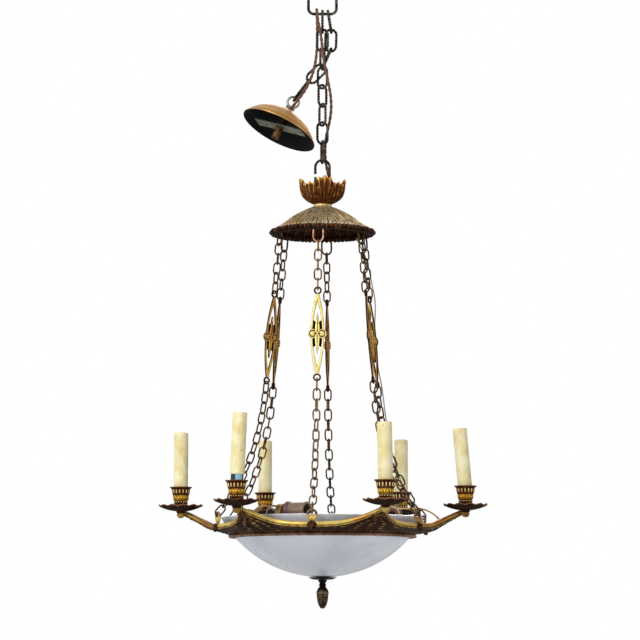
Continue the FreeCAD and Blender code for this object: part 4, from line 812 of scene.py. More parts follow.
def links_tree():
    """A chain: one link on each point, hung along the point's direction and turned from the one before."""
    tree, given, made = geometry_tree("chain links", (
        ("Wire", "NodeSocketFloat", 0.004),
        ("Width", "NodeSocketFloat", 0.024),
        ("Pitch", "NodeSocketFloat", 0.033),
        ("First turn", "NodeSocketFloat", 0.0),
        ("Turn each", "NodeSocketFloat", 90.0),
        ("Twists", "NodeSocketFloat", 0.0),
        ("Lobe", "NodeSocketFloat", 1.0),
        ("Steps", "NodeSocketInt", 36),
        ("Material", "NodeSocketMaterial", None),
    ))

    def times(first, second):
        return maths(tree, "MULTIPLY", first, second)

    across = maths(tree, "SUBTRACT", given["Width"], given["Wire"])
    tall = maths(tree, "ADD", maths(tree, "ADD", given["Pitch"], given["Wire"]), LINK_PLAY * MM)
    oblong = output(tree, "GeometryNodeCurvePrimitiveQuadrilateral", {"Width": across, "Height": tall})
    ends = {"Curve": oblong, "Radius": times(across, 0.499), "Count": 10}
    oval = output(tree, "GeometryNodeFilletCurve", ends, mode="POLY")
    path = output(tree, "GeometryNodeResampleCurve", {"Curve": oval, "Count": given["Steps"]})
    index = output(tree, "GeometryNodeInputIndex")
    step = maths(tree, "DIVIDE", times(given["Twists"], TAU), given["Steps"])
    path = output(tree, "GeometryNodeSetCurveTilt", {"Curve": path, "Tilt": times(index, step)})
    outer = times(given["Wire"], 0.5)
    section = output(tree, "GeometryNodeCurveStar", {
        "Points": 4, "Inner Radius": times(outer, given["Lobe"]), "Outer Radius": outer,
    })
    wire = output(tree, "GeometryNodeCurveToMesh", {"Curve": path, "Profile Curve": section})
    wire = output(tree, "GeometryNodeSetShadeSmooth", {0: wire})
    upright = output(tree, "GeometryNodeTransform", {"Geometry": wire, "Rotation": (math.pi / 2, 0, 0)})
    down = attribute(tree, "down", "FLOAT_VECTOR")
    length = attribute(tree, "pitch", "FLOAT")
    tilt = scaled(tree, down, vector_maths(tree, "DOT_PRODUCT", down, (0, 1, 0)))
    flat = vector_maths(tree, "NORMALIZE", vector_maths(tree, "SUBTRACT", (0, 1, 0), tilt))
    normal = vector_maths(tree, "CROSS_PRODUCT", down, flat)
    degrees = maths(tree, "ADD", given["First turn"], times(index, given["Turn each"]))
    angle = maths(tree, "RADIANS", degrees)
    side = vector_maths(tree, "ADD", scaled(tree, flat, maths(tree, "COSINE", angle)),
                        scaled(tree, normal, maths(tree, "SINE", angle)))
    turn = output(tree, "FunctionNodeAxesToRotation", {0: scaled(tree, down, -1.0), 1: side},
                  primary_axis="Z", secondary_axis="X")
    stretch = maths(tree, "DIVIDE", length, given["Pitch"])
    size = output(tree, "ShaderNodeCombineXYZ", {0: 1.0, 1: 1.0, 2: stretch})
    points = output(tree, "GeometryNodeMeshToPoints", {"Mesh": given["Geometry"]})
    hung = output(tree, "GeometryNodeInstanceOnPoints", {
        "Points": points, "Instance": upright, "Rotation": turn, "Scale": size,
    })
    close_tree(tree, hung, given["Material"], made)
    return tree


def copied_form(tree, given):
    links = {"Object": given["Copy"], "As Instance": True}
    return add(tree, "GeometryNodeObjectInfo", links).outputs["Geometry"]


def rings_tree():
    """Copies of one form in a ring, and that ring again at stations on a larger circle."""
    tree, given, made = geometry_tree("rings of copies", (
        ("Copy", "NodeSocketObject", None),
        ("Copies", "NodeSocketInt", 12),
        ("First turn", "NodeSocketFloat", 0.0),
        ("Stations", "NodeSocketInt", 1),
        ("Station turn", "NodeSocketFloat", 0.0),
        ("Station radius", "NodeSocketFloat", 0.0),
        ("Material", "NodeSocketMaterial", None),
        ("Under material", "NodeSocketMaterial", None),
    ))
    index = output(tree, "GeometryNodeInputIndex")

    def turn_of(first, count):
        step = maths(tree, "MULTIPLY", index, maths(tree, "DIVIDE", TAU, count))
        return maths(tree, "ADD", maths(tree, "RADIANS", first), step)

    def along_circle(direction):
        return maths(tree, "MULTIPLY", given["Station radius"], maths(tree, direction, around))

    spin = output(tree, "ShaderNodeCombineXYZ", {2: turn_of(given["First turn"], given["Copies"])})
    ring = output(tree, "GeometryNodeInstanceOnPoints", {
        "Points": output(tree, "GeometryNodePoints", {"Count": given["Copies"]}),
        "Instance": copied_form(tree, given), "Rotation": spin,
    })
    around = turn_of(given["Station turn"], given["Stations"])
    place = output(tree, "ShaderNodeCombineXYZ", {0: along_circle("COSINE"), 1: along_circle("SINE")})
    rings = output(tree, "GeometryNodeInstanceOnPoints", {
        "Points": output(tree, "GeometryNodePoints", {"Count": given["Stations"], "Position": place}),
        "Instance": output(tree, "GeometryNodeGeometryToInstance", {0: ring}),
        "Rotation": output(tree, "ShaderNodeCombineXYZ", {2: around}),
    })
    close_tree(tree, rings, given["Material"], made, given["Under material"])
    return tree


def scales_tree():
    """One scale on each point of a form, set along the point's own direction and sized by it."""
    tree, given, made = geometry_tree("scales on a form", (
        ("Copy", "NodeSocketObject", None),
        ("Material", "NodeSocketMaterial", None),
    ))
    out = attribute(tree, "out", "FLOAT_VECTOR")
    turn = output(tree, "FunctionNodeAxesToRotation", {0: out, 1: (0, 0, -1)},
                  primary_axis="X", secondary_axis="Z")
    laid = output(tree, "GeometryNodeInstanceOnPoints", {
        "Points": output(tree, "GeometryNodeMeshToPoints", {"Mesh": given["Geometry"]}),
        "Instance": copied_form(tree, given), "Rotation": turn, "Scale": attribute(tree, "size", "FLOAT"),
    })
    close_tree(tree, laid, given["Material"], made)
    return tree


CHAIN_LINKS = links_tree()
RINGS = rings_tree()
SCALES = scales_tree()


def plain_mesh(thing):
    """A plain mesh of what an object shows."""
    bpy.context.view_layer.update()
    seen = thing.evaluated_get(bpy.context.evaluated_depsgraph_get())
    return bpy.data.meshes.new_from_object(seen)


def grown(name, tree, values, carrier=None):
    """The plain mesh that a tree makes from its named input values."""
    holder = linked(name + "_carrier", carrier or bpy.data.meshes.new(name + "_carrier"))
    modifier = holder.modifiers.new(tree.name, "NODES")
    modifier.node_group = tree
    for item in tree.interface.items_tree:
        if item.in_out == "INPUT" and item.name in values:
            modifier[item.identifier] = values[item.name]
    holder.update_tag()
    mesh = plain_mesh(holder)
    mesh.name = name
    bpy.data.objects.remove(holder)
    slots = list(mesh.materials)
    finishes = [finish for finish in slots if finish]
    paint = [finishes.index(slots[face.material_index]) for face in mesh.polygons]
    mesh.materials.clear()
    for finish in finishes:
        mesh.materials.append(finish)
    mesh.polygons.foreach_set("material_index", paint)
    return mesh


def ring_of(name, form, material, copies, first=0.0, weld=False, under=None,
            stations=1, station_turn=0.0, reach=0.0):
    """A form repeated round its axis, and round the chandelier's axis where it has stations."""
    under = under or material
    copy = form.piece(name + "_copy", [material, under], 50)
    mesh = grown(name, RINGS, {
        "Copy": copy, "Copies": copies, "First turn": first, "Stations": stations,
        "Station turn": station_turn, "Station radius": reach * MM,
        "Material": material, "Under material": under,
    })
    bpy.data.objects.remove(copy)
    if weld:
        shell = opened(mesh, SEAM_WELD)
        bmesh.ops.recalc_face_normals(shell, faces=shell.faces)
        shell.to_mesh(mesh)
        shell.free()
    return linked(name, mesh)


def on_arms(name, form, material, copies, first=0.0, weld=False):
    return ring_of(name, form, material, copies, first, weld, None, ARMS, ARM_TURN - 90, ARM_RADIUS)


def point_cloud(places, **values):
    mesh = bpy.data.meshes.new("points")
    mesh.from_pydata([Vector(p) * MM for p in places], [], [])
    for name, column in values.items():
        if isinstance(column[0], Vector):
            flat = [x for vector in column for x in vector]
            mesh.attributes.new(name, "FLOAT_VECTOR", "POINT").data.foreach_set("vector", flat)
        else:
            mesh.attributes.new(name, "FLOAT", "POINT").data.foreach_set("value", column)
    return mesh


def chain_mesh(name, joints, material, wire, width, first, each, twists=0.0, lobe=1.0, steps=28):
    """Links between consecutive joints, each a point and the next."""
    pairs = list(zip(joints, joints[1:]))
    middles = [(a + b) / 2 for a, b in pairs]
    downs = [(b - a).normalized() for a, b in pairs]
    pitches = [(b - a).length * MM for a, b in pairs]
    return grown(name, CHAIN_LINKS, {
        "Wire": wire * MM, "Width": width * MM, "Pitch": pitches[0], "First turn": float(first),
        "Turn each": float(each), "Twists": twists, "Lobe": lobe, "Steps": steps, "Material": material,
    }, point_cloud(middles, down=downs, pitch=pitches))


def joined(name, meshes):
    """One mesh from several, each keeping its material."""
    made = bpy.data.meshes.new(name)
    finishes = []
    shell = bmesh.new()
    for mesh in meshes:
        first = len(shell.faces)
        shell.from_mesh(mesh)
        if mesh.materials[0] not in finishes:
            finishes.append(mesh.materials[0])
        shell.faces.ensure_lookup_table()
        for face in shell.faces[first:]:
            face.material_index = finishes.index(mesh.materials[0])
    shell.to_mesh(made)
    shell.free()
    for finish in finishes:
        made.materials.append(finish)
    return made


# Camera
view = bpy.data.cameras.new("camera")
view.lens = CAMERA_LENS
view.sensor_width = SENSOR
camera = linked("camera", view)
camera.location = CAMERA_PLACE
camera.rotation_euler = (math.radians(90 + CAMERA_RISE), 0, 0)
bpy.context.scene.camera = camera


# Cords
def route_curve(name, route):
    """Open smooth spline through a route's control points, with no thickness."""
    data = bpy.data.curves.new(name, "CURVE")
    data.dimensions = "3D"
    data.resolution_u = 8
    spline = data.splines.new("NURBS")
    spline.points.add(len(route) - 1)
    for point, place in zip(spline.points, route):
        point.co = (*place, 1.0)
    spline.order_u = 3
    spline.use_endpoint_u = True
    return linked(name, data)


def carried_frames(places):
    """A frame at each point of a path, carried along it without twist: point, side and normal."""
    frames = []
    side = None
    for k, place in enumerate(places):
        ahead = places[min(k + 1, len(places) - 1)] - places[max(k - 1, 0)]
        ahead.normalize()
        if side is None:
            side = ahead.orthogonal()
        side = (side - ahead * side.dot(ahead)).normalized()
        frames.append((place, side.copy(), ahead.cross(side)))
    return frames


def twisted_cord(name, places, diameter, strand, turns_every, material, strands=2, sides=8):
    """Strands wound round a path; places are in metres, sizes in millimetres."""
    reach = diameter / 2 - strand
    frames = carried_frames(places)
    form = Form()
    for n in range(strands):
        rows = []
        gone = 0.0
        middles = []
        for k, (place, side, normal) in enumerate(frames):
            if k:
                gone += (place - frames[k - 1][0]).length / MM
            angle = TAU * (gone / turns_every + n / strands)
            out = side * math.cos(angle) + normal * math.sin(angle)
            middles.append(place / MM + out * reach)
        for place, side, normal in carried_frames(middles):
            ring = [TAU * s / sides for s in range(sides)]
            rows.append([(place + (side * math.cos(a) + normal * math.sin(a)) * strand, 0.5) for a in ring])
        form.grid(rows, around=True)
        start = len(form.points) - len(rows) * sides
        last = len(form.points) - sides
        form.faces.append([start + s for s in range(sides)])
        form.faces.append([last + s for s in reversed(range(sides))])
        form.paint += [0, 0]
    return form.piece(name, [material], 80)


def make_supply_cord():
    route = route_curve("supply_route", SUPPLY_ROUTE)
    places = [vertex.co.copy() for vertex in plain_mesh(route).vertices]
    bpy.data.objects.remove(route)
    cord = twisted_cord("supply_cord_twist", places, SUPPLY_CORD, CORD_STRAND, CORD_TURNS_EVERY, CORD_SILK)
    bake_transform(cord, "hanging_chain", "canopy", start=(-0.030, 0.002, -0.235), end=(-0.050, 0.002, -0.235))
    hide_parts("supply_cord")


def make_lamp_wire():
    wire = route_curve("lamp_wire_run", LAMP_ROUTE)
    wire.data.bevel_depth = LAMP_WIRE * MM / 2
    wire.data.bevel_resolution = 2
    wire.data.use_fill_caps = True
    wire.data.materials.append(WIRE_CREAM)
    dress(wire, "chandelier", ["lamp_wire"])


make_supply_cord()
make_lamp_wire()


# Heavy chain
def leaning_step(lean, length):
    right = math.sin(math.radians(lean[0]))
    back = math.sin(math.radians(lean[1]))
    return Vector((right, back, -math.sqrt(1 - right * right - back * back))) * length


def strand_joints():
    joints = [Vector(STRAND_START)]
    for lean in STRAND_LEANS:
        joints.append(joints[-1] + leaning_step(lean, CHAIN_PITCH))
    joints.append(joints[-1] + leaning_step(*STRAND_LAST))
    return joints


def make_heavy_chain():
    joints = [UP * (TOP_LINK_LOW - CHAIN_PITCH * k) for k in range(MAIN_LINKS + 1)]
    strands = (
        ("main_links", joints, MAIN_TURN, "main_chain"),
        ("strand_links", strand_joints(), 90, "canopy_chain"),
    )
    for name, places, turn, node in strands:
        mesh = chain_mesh(name, places, HEAVY_IRON, ROPE_WIRE, CHAIN_WIDTH, 0, turn, **ROPE_LOOK)
        dress(linked(name, mesh), "hanging_chain", [node])


def make_crown_link():
    """Open link of twisted wire, its gap on the left."""
    bend = (CROWN_LINK_WIDTH - CROWN_LINK_WIRE) / 2
    reach = (CROWN_LINK_WIRE + LINK_PLAY) / 2
    top = reach - bend
    bottom = -CROWN_LINK_PITCH - reach + bend
    gap_low = -CROWN_LINK_GAP_DROP
    gap_high = gap_low + CROWN_LINK_GAP
    path = [(-bend, gap_high)]
    path += [(-bend, gap_high + (top - gap_high) * k / 10) for k in range(1, 10)]
    path += arc((0, top), bend, 180, 0, 24)
    path += [(bend, top + (bottom - top) * k / 20) for k in range(1, 20)]
    path += arc((0, bottom), bend, 0, -180, 24)
    path += [(-bend, bottom + (gap_low - bottom) * k / 8) for k in range(1, 9)]
    places = [Vector((x, 0, z + CROWN_LINK_TOP)) * MM for x, z in path]
    link = twisted_cord("crown_link_twist", places, CROWN_LINK_ROPE, CROWN_LINK_STRAND, CROWN_LINK_LAY,
                        HEAVY_IRON, CROWN_LINK_STRANDS)
    dress(link, "hanging_chain", ["crown_link"])


make_heavy_chain()
make_crown_link()


# Leaves that ring the crown, the corona and the pans
def leaf_sector(span, profile, tip, rise, gleam, thick, across=14, along=18, apart=False):
    """One sector of a ring of leaves along +X. The profile gives (radius, height) at a share of the length,
    tip how far the leaf reaches at a place across it, rise how high it stands and gleam how worn it is."""
    def surface(u, v, layer):
        radius, z = profile(v)
        near = profile(v + 0.01)
        slope = Vector((near[0] - radius, near[1] - z)).normalized()
        lift = rise(u, v) - layer
        angle = math.radians(span / 2) * u
        radius -= slope.y * lift
        return polar(angle, radius, z + slope.x * lift)

    form = Form()
    faces = []
    for paint, layer in enumerate((0.0, thick)):
        rows = []
        for a in range(across + 1):
            u = 2 * a / across - 1
            shares = [tip(u) * b / along for b in range(along + 1)]
            rows.append([(surface(u, v, layer), gleam(u, v)) for v in shares])
        faces.append(rows)
        form.grid(rows, paint=paint)
    for end in (0, -1):
        form.grid([[row[end] for row in faces[0]], [row[end] for row in faces[1]]])
        if apart:
            form.grid([faces[0][end], faces[1][end]])
    return form


def make_crown_cup():
    """Acanthus cup: four tall leaves and four short ones between them, fluted from the foot."""
    def cup_side(tall, inset):
        def side(v):
            up = tall * v ** 1.15
            curl = 14.0 * max(0.0, v - 0.7) ** 1.6
            radius = CUP_FOOT - 1 + (CUP_SPREAD - CUP_FOOT - 1) * (1 - math.exp(-up / 11))
            return radius - inset - curl, CUP_BASE + up
        return side

    def lobed(u):
        return 1.0 - 0.26 * abs(u) ** 2.2 - 0.14 * (1 - abs(math.cos(u * math.pi / LEAF_LOBE)) ** 0.45)

    def flute(u, v):
        return math.cos(TAU * u / (0.45 + 0.55 * min(1.0, v)) / LEAF_LOBE)

    def fluted(u, v):
        hollow = LEAF_HOLLOW * math.cos(u * math.pi / 2) ** 0.7 * min(1.0, 2 * v + 0.2)
        lip = LEAF_LIP * math.exp(-((v / lobed(u) - 0.93) / 0.08) ** 2)
        return -hollow - lip - LEAF_FLUTE * flute(u, v) * min(1.0, 2.5 * v)

    def gleam(u, v):
        ridge = max(0.0, flute(u, v)) ** 3
        return 0.04 + 0.6 * ridge * (0.15 + 0.85 * v * v) + 2.2 * max(0.0, v - 0.76)

    both = Form()
    for n, (cut, inset, along) in enumerate(((TALL_CUT, 0.0, 24), (SHORT_CUT, SHORT_INSET, 22))):
        side = cup_side(CUP_TALL - cut, inset)
        leaf = leaf_sector(LEAF_SPAN, side, lobed, fluted, gleam, -LEAF_THICK, 28, along, True)
        both.put(leaf, Matrix.Rotation(n * math.pi / CROWN_LEAVES, 4, "Z"))
    leaves = ring_of("crown_leaves", both, LEAF_BRONZE, CROWN_LEAVES, CROWN_TURN, True, RIB_DARK)
    cup = [(CROWN_BORE, 0)] + [(CUP_FOOT + out, up) for out, up in CROWN_SEAT] + [(CROWN_BORE, SEAT_FLOOR)]
    seat = turned(raised_by(cup, CUP_BASE), relief=0.1).piece("crown_leaf_seat", [RIB_DARK])
    dress(seat, "chandelier", ())
    dress(leaves, "chandelier", ["crown_cup"])


def make_corona():
    """Ribbed cone with a rolled rim of three lobes to each rib, and a row of beads on the roll."""
    spread = CORONA_EDGE - CORONA_NECK
    fall = CORONA_FALL - 0.5

    def slope(v):
        return CORONA_NECK + spread * v, CORONA_TOP - fall * min(v, 1.0) ** CORONA_BEND

    def scallop(u):
        return 0.99 + 0.035 * abs(math.cos(u * math.pi)) ** 0.7

    def vein(u, v):
        return math.cos((abs(u) * RIB_VEIN_BEND[0] - v * RIB_VEIN_BEND[1]) * math.pi)

    def rib(u, v):
        arch = math.cos(u * math.pi * 0.5)
        swell = RIB_SWELL * arch ** 0.8 * min(1.0, v * 3) * (0.4 + 0.6 * v)
        keel = max(0.0, 1 - abs(u) * 6) * RIB_KEEL * (1 - v * 0.4)
        veins = RIB_VEIN * vein(u, v) * v * (1 - abs(u))
        return swell + keel + veins - 20 * max(0.0, v - 0.9) * arch

    def gleam(u, v):
        edge = math.exp(-((abs(u) - 0.72) / 0.16) ** 2)
        veins = max(0.0, vein(u, v)) ** 2 * v
        keel = max(0.0, 1 - abs(u) * 5)
        return 0.28 + 0.34 * edge + 0.22 * veins + 0.3 * keel - 3 * max(0.0, abs(u) - 0.88)

    ribs = leaf_sector(360 / CORONA_RIBS, slope, scallop, rib, gleam, CORONA_WALL, 14, 28)
    # The ribs' underside takes the dark rib finish, painted shade under the corona.
    shell = ring_of("corona_ribs", ribs, RIB_BRONZE, CORONA_RIBS, 0.0, True, RIB_DARK)
    dress(shell, "chandelier", ["corona"])
    roll = Form()
    for side in (-1, 0, 1):
        out = CORONA_ROLL + 1.2 - 2.4 * abs(side)
        place = Matrix.Translation((out, side * ROLL_APART, CORONA_RIM - 0.4 * abs(side)))
        lobe = place @ Matrix.Rotation(side * 0.08, 4, "Z") @ Matrix.Diagonal((*ROLL_LOBE, 1))
        roll.put(ball((0, 0, 0), 1.0), lobe)
    bead = ball((CORONA_ROLL - 1.0, 0, CORONA_RIM + ROLL_LOBE[2] + 0.5), CORONA_BEAD, 1.0, 6)
    edge = CORONA_NECK + 1
    low = CORONA_TOP - CORONA_WALL
    top = turned([(CROWN_BORE, CORONA_TOP), (edge, CORONA_TOP), (edge, low), (CROWN_BORE, low)])
    for piece in (ring_of("corona_rolls", roll, ROLL_BRONZE, CORONA_RIBS),
                  ring_of("corona_beads", bead, BEAD_PALE, CORONA_BEADS),
                  top.piece("corona_top", [RIB_BRONZE])):
        dress(piece, "chandelier", ())


def make_drip_pans():
    def dish(v):
        up = PAN_THICK + (PAN_DEEP - PAN_THICK) * min(v, 1.1) ** 1.7
        return PAN_FLOOR + (PAN_RADIUS - PAN_FLOOR) * v, PAN_LOW + up

    def pointed(u):
        return 0.92 + 0.08 * (1 - abs(u)) ** 0.8

    def ribbed(u, v):
        keel = max(0.0, 1 - abs(u) * 5) * PAN_KEEL
        return (PAN_SWELL * math.cos(u * math.pi * 0.5) + keel) * min(1.0, v * 2.5) - PAN_SWELL

    def gleam(u, v):
        return 0.25 + 0.3 * max(0.0, 1 - abs(u) * 4) + 1.5 * max(0.0, v - 0.8)

    leaf = leaf_sector(360 / PAN_LEAVES, dish, pointed, ribbed, gleam, PAN_THICK, 10, 14)
    pans = on_arms("pan_leaves", leaf, PAN_BRONZE, PAN_LEAVES, PAN_TURN, True)
    dress(pans, "chandelier", ["drip_pans"])


make_crown_cup()
make_corona()
make_drip_pans()


# Suspension chains and their pierced bars
def lug_azimuth(k):
    return LUG_TURN + 360 / CHAINS * k


def hanging(distance):
    """Point of the straight upper chain in its own plane."""
    return Vector((HANG_RADIUS + distance * math.sin(HANG_LEAN), 0, HANG_Z - distance * math.cos(HANG_LEAN)))


def lower_joints():
    """Evenly spaced joints of the sagging lower chain, from the bar to the lug."""
    start = hanging(UPPER_REACH + BAR_REACH)
    end = Vector((LUG_HANG[0], 0, LUG_HANG[1]))
    across = end.x - start.x
    fall = start.z - end.z
    first = (fall * math.sin(LUG_LEAN) - across * math.cos(LUG_LEAN)) / math.sin(LUG_LEAN - HANG_LEAN)
    knee = start + Vector((math.sin(HANG_LEAN), 0, -math.cos(HANG_LEAN))) * first
    fine = [k / 400 for k in range(401)]
    curve = [start * (1 - s) ** 2 + knee * (2 * s * (1 - s)) + end * s ** 2 for s in fine]
    gone = [0.0]
    for a, b in zip(curve, curve[1:]):
        gone.append(gone[-1] + (b - a).length)
    joints = []
    for n in range(LOWER_LINKS + 1):
        wanted = gone[-1] * n / LOWER_LINKS
        k = min(range(len(gone)), key=lambda i: abs(gone[i] - wanted))
        joints.append(curve[k])
    return joints


def make_suspension_chains():
    upper = [hanging(JUMP_PITCH + UPPER_PITCH * n) for n in range(UPPER_LINKS + 1)]
    lower = lower_joints()
    for k in range(CHAINS):
        twist = BAR_TWISTS[k]
        turn = 90 + twist / UPPER_LINKS
        untwist = (twist - 90 if twist > 0 else twist + 90) / (LOWER_LINKS - 1)
        name = "chain_run_%d" % (k + 1)
        # The chain nearest the viewer takes lighter finishes as painted light.
        links = CHAIN_LIT if k == LIT_FRONT else CHAIN_BRONZE
        hook = RING_LIT if k == LIT_FRONT else CHAIN_BRONZE
        meshes = [
            chain_mesh(name, [hanging(0), upper[0]], hook, JUMP_WIRE, JUMP_WIDTH, 0, 0),
            chain_mesh(name, upper, links, SMALL_WIRE, SMALL_WIDTH, turn, turn),
            chain_mesh(name, lower, links, SMALL_WIRE, SMALL_WIDTH, 90 + twist, 90 - untwist),
        ]
        whole = joined(name, meshes)
        whole.transform(Matrix.Rotation(math.radians(lug_azimuth(k) - 90), 4, "Z"))
        dress(linked(name, whole), "chandelier", ["suspension_chain_%d" % (k + 1)])


def lens(half_width, half_length, z):
    """Half width of a navette at a height."""
    if abs(z) >= half_length:
        return 0.0
    radius = (half_length ** 2 + half_width ** 2) / 2 / half_width
    return max(0.0, math.sqrt(radius ** 2 - z ** 2) - radius + half_width)


def disc_width(radius, offset, middle, z):
    """How far a disc beside the axis reaches at a height."""
    if abs(z - middle) >= radius:
        return 0.0
    return offset + math.sqrt(radius ** 2 - (z - middle) ** 2)


def flat_plate(name, outlines, thick, edge, material):
    """A plate in the XZ plane from closed outlines, the inner ones being holes, with rounded edges."""
    data = bpy.data.curves.new(name, "CURVE")
    data.dimensions = "2D"
    data.fill_mode = "BOTH"
    data.extrude = (thick / 2 - edge) * MM
    data.bevel_depth = edge * MM
    data.bevel_resolution = 2
    data.offset = -edge * MM
    for outline in outlines:
        spline = data.splines.new("POLY")
        spline.points.add(len(outline) - 1)
        for point, (x, z) in zip(spline.points, outline):
            point.co = (x * MM, z * MM, 0, 1)
        spline.use_cyclic_u = True
    curve = linked(name, data)
    mesh = plain_mesh(curve)
    bpy.data.objects.remove(curve)
    mesh.transform(Matrix.Rotation(math.pi / 2, 4, "X"))
    mesh.materials.clear()
    mesh.materials.append(material)
    shell = opened(mesh, PLATE_WELD)
    bmesh.ops.recalc_face_normals(shell, faces=shell.faces)
    height = shell.verts.layers.float.new("relief")
    for point in shell.verts:
        point[height] = 0.9 * min(1.0, abs(point.co.y) / (thick / 2 * MM)) ** 10
    shell.to_mesh(mesh)
    shell.free()
    mesh.shade_smooth()
    mesh.set_sharp_from_angle(angle=math.radians(35))
    return mesh


def circle(radius, z=0.0, count=28):
    angles = [TAU * n / count for n in range(count)]
    return [(radius * math.cos(a), z + radius * math.sin(a)) for a in angles]


def lobe_dial():
    """Raised rim, sunk ring and domed middle of one lobe, its axis along Z."""
    rim = [(-0.2, -0.5), (-0.3, 0.3), (-0.9, 0.7), (-1.6, 0.5), (-2.0, 0.2), (-3.5, 0.2), (-3.8, 0.5)]
    profile = [(0, -0.5)] + [(BAR_LOBE + inset, up) for inset, up in rim] + [(1.6, 0.8), (0, 0.85)]
    return turned(profile, 32, relief=[0.2, 0.2, 0.5, 0.9, 0.7, -0.9, -0.9, 0.7, 0.85, 0.9])


def bar_meshes(finish):
    """The parts of one pierced bar, its eyes on the Z axis and its middle at the origin."""
    half = BAR_LENGTH / 2
    inner_width = BAR_NAVETTE - BAR_STRIP
    inner_length = half - 3 * BAR_EYE
    lobe_out = BAR_WIDE - BAR_LOBE
    face_y = BAR_THICK / 2

    def outer(z):
        width = max(lens(BAR_NAVETTE, half + BAR_EYE_HOLE, z), disc_width(BAR_LOBE, lobe_out, 0, z))
        return max(width, disc_width(BAR_EYE, 0, half, z), disc_width(BAR_EYE, 0, -half, z))

    def opening(z):
        width = lens(inner_width, inner_length, z)
        if z < BAR_LOBE:
            width = min(width, lobe_out - math.sqrt(BAR_LOBE ** 2 - z ** 2))
        return width

    tip = half + BAR_EYE
    heights = [tip * math.sin(math.pi * (n / 120 - 0.5)) for n in range(121)]
    right = [(outer(z), z) for z in heights[1:-1]]
    outline = [(0, -tip)] + right + [(0, tip)] + [(-x, z) for x, z in reversed(right)]
    eyelet = circle(BAR_EYELET)
    holes = [circle(BAR_EYE_HOLE, half), circle(BAR_EYE_HOLE, -half), eyelet]
    for end in (-1, 1):
        levels = [BAR_BRIDGE + (inner_length - BAR_BRIDGE) * n / 36 for n in range(36)]
        wide = [(opening(z), end * z) for z in levels]
        spear = [(lens(BAR_SPEAR, BAR_SPEAR_REACH, z), end * z) for z in levels if z < BAR_SPEAR_REACH - 0.5]
        ring = wide + [(0, end * inner_length)] + [(-x, z) for x, z in reversed(wide)]
        ring += [(-x, z) for x, z in spear] + [(0, end * BAR_SPEAR_REACH)] + list(reversed(spear))
        holes.append(ring)
    plate = flat_plate("bar_plate", [outline] + holes, BAR_THICK, BAR_EDGE, finish)
    steps = [BAR_WEB * (n / 12 - 1) for n in range(25)]
    side = [(lens(inner_width, inner_length, z) + 0.6, z) for z in steps]
    notch = BAR_WEB - BAR_NOTCH
    sheet = [side + [(0, notch)] + [(-x, z) for x, z in reversed(side)] + [(0, -notch)], eyelet]
    web = flat_plate("bar_web", sheet, BAR_WEB_THICK, 0.1, BAR_RECESS)
    raised = Form()
    dial = lobe_dial()
    for face in (-1, 1):
        for end in (-1, 1):
            rows = []
            for n in range(15):
                z = BAR_SPEAR_REACH * (0.07 + 0.92 * n / 14)
                width = lens(BAR_SPEAR, BAR_SPEAR_REACH, z) * 0.92
                groove = -1.7 * (1 - n / 14)
                across = ((-1, -0.2, 0.6), (-0.6, 0.7, 0.9), (-0.26, 0.6, 0.8), (-0.16, 0.2, 0.7 + groove),
                          (0.16, 0.2, 0.7 + groove), (0.26, 0.6, 0.8), (0.6, 0.7, 0.9), (1, -0.2, 0.6))
                rows.append([((x * width, face * (face_y + y), end * z), r) for x, y, r in across])
            raised.grid(rows)
        turn = Matrix.Rotation(-face * math.pi / 2, 4, "X")
        for side_of in (-1, 1):
            raised.put(dial, Matrix.Translation((side_of * lobe_out, face * face_y, 0)) @ turn)
            slit = Form().put(ball((0, 0, 0), 1.0, 1.0, 8), Matrix.Diagonal((*BAR_SLIT, 1)))
            slit.relief = [-0.8] * len(slit.relief)
            raised.put(slit, Matrix.Translation((side_of * BAR_SLIT_OUT, face * face_y, 0)))
        lip = turned(arc((BAR_EYELET + 0.5, 0), 0.45, 0, 330, 8), 20, relief=0.8)
        raised.put(lip, Matrix.Translation((0, face * face_y, 0)) @ turn)
    for end in (-1, 1):
        out, through = BAR_COLLAR
        bead = [(BAR_EYE - 0.7 + out * x, through * y) for x, y in arc((0, 0), 1.0, 0, 330, 10)]
        collar = turned(bead, 24, relief=-0.1)
        raised.put(collar, Matrix.Translation((0, 0, end * half)) @ Matrix.Rotation(math.pi / 2, 4, "X"))
    return plate, raised.mesh("bar_relief", [finish], 50, rub_and_shade=0.3), web


def make_pierced_bars():
    first = UPPER_REACH + BAR_EYE_HOLE - BAR_SLACK
    top = hanging(first)
    low = hanging(first + BAR_LENGTH)
    down = (low - top).normalized()
    for k in range(CHAINS):
        angle = math.radians(BAR_TWISTS[k])
        flat = BACK * math.cos(angle) + down.cross(BACK) * math.sin(angle)
        place = axes((top + low) / 2 * MM, flat, down * -1)
        place = Matrix.Rotation(math.radians(lug_azimuth(k) - 90), 4, "Z") @ place
        name = "navette_bar_%d" % (k + 1)
        # The bar nearest the viewer takes a lighter finish as painted light.
        mesh = joined(name, bar_meshes(BAR_LIT if k == LIT_FRONT else BAR_BROWN))
        mesh.transform(place)
        dress(linked(name, mesh), "pierced_bar_%d" % (k + 1), ["pierced_bar_%d" % (k + 1)])


make_suspension_chains()
make_pierced_bars()


# Star frame
def arm_azimuth(k):
    return ARM_TURN + 360 / ARMS * k


def rail_point(offset):
    """Outer radius and middle height of the rail at an angle in degrees from its arm."""
    share = 1 - abs(offset) / (180 / ARMS)
    radius = RAIL_VALLEY + (RAIL_TIP - RAIL_VALLEY) * share ** RAIL_SWEEP
    return radius, RAIL_Z + RAIL_RISE * share ** RAIL_LIFT


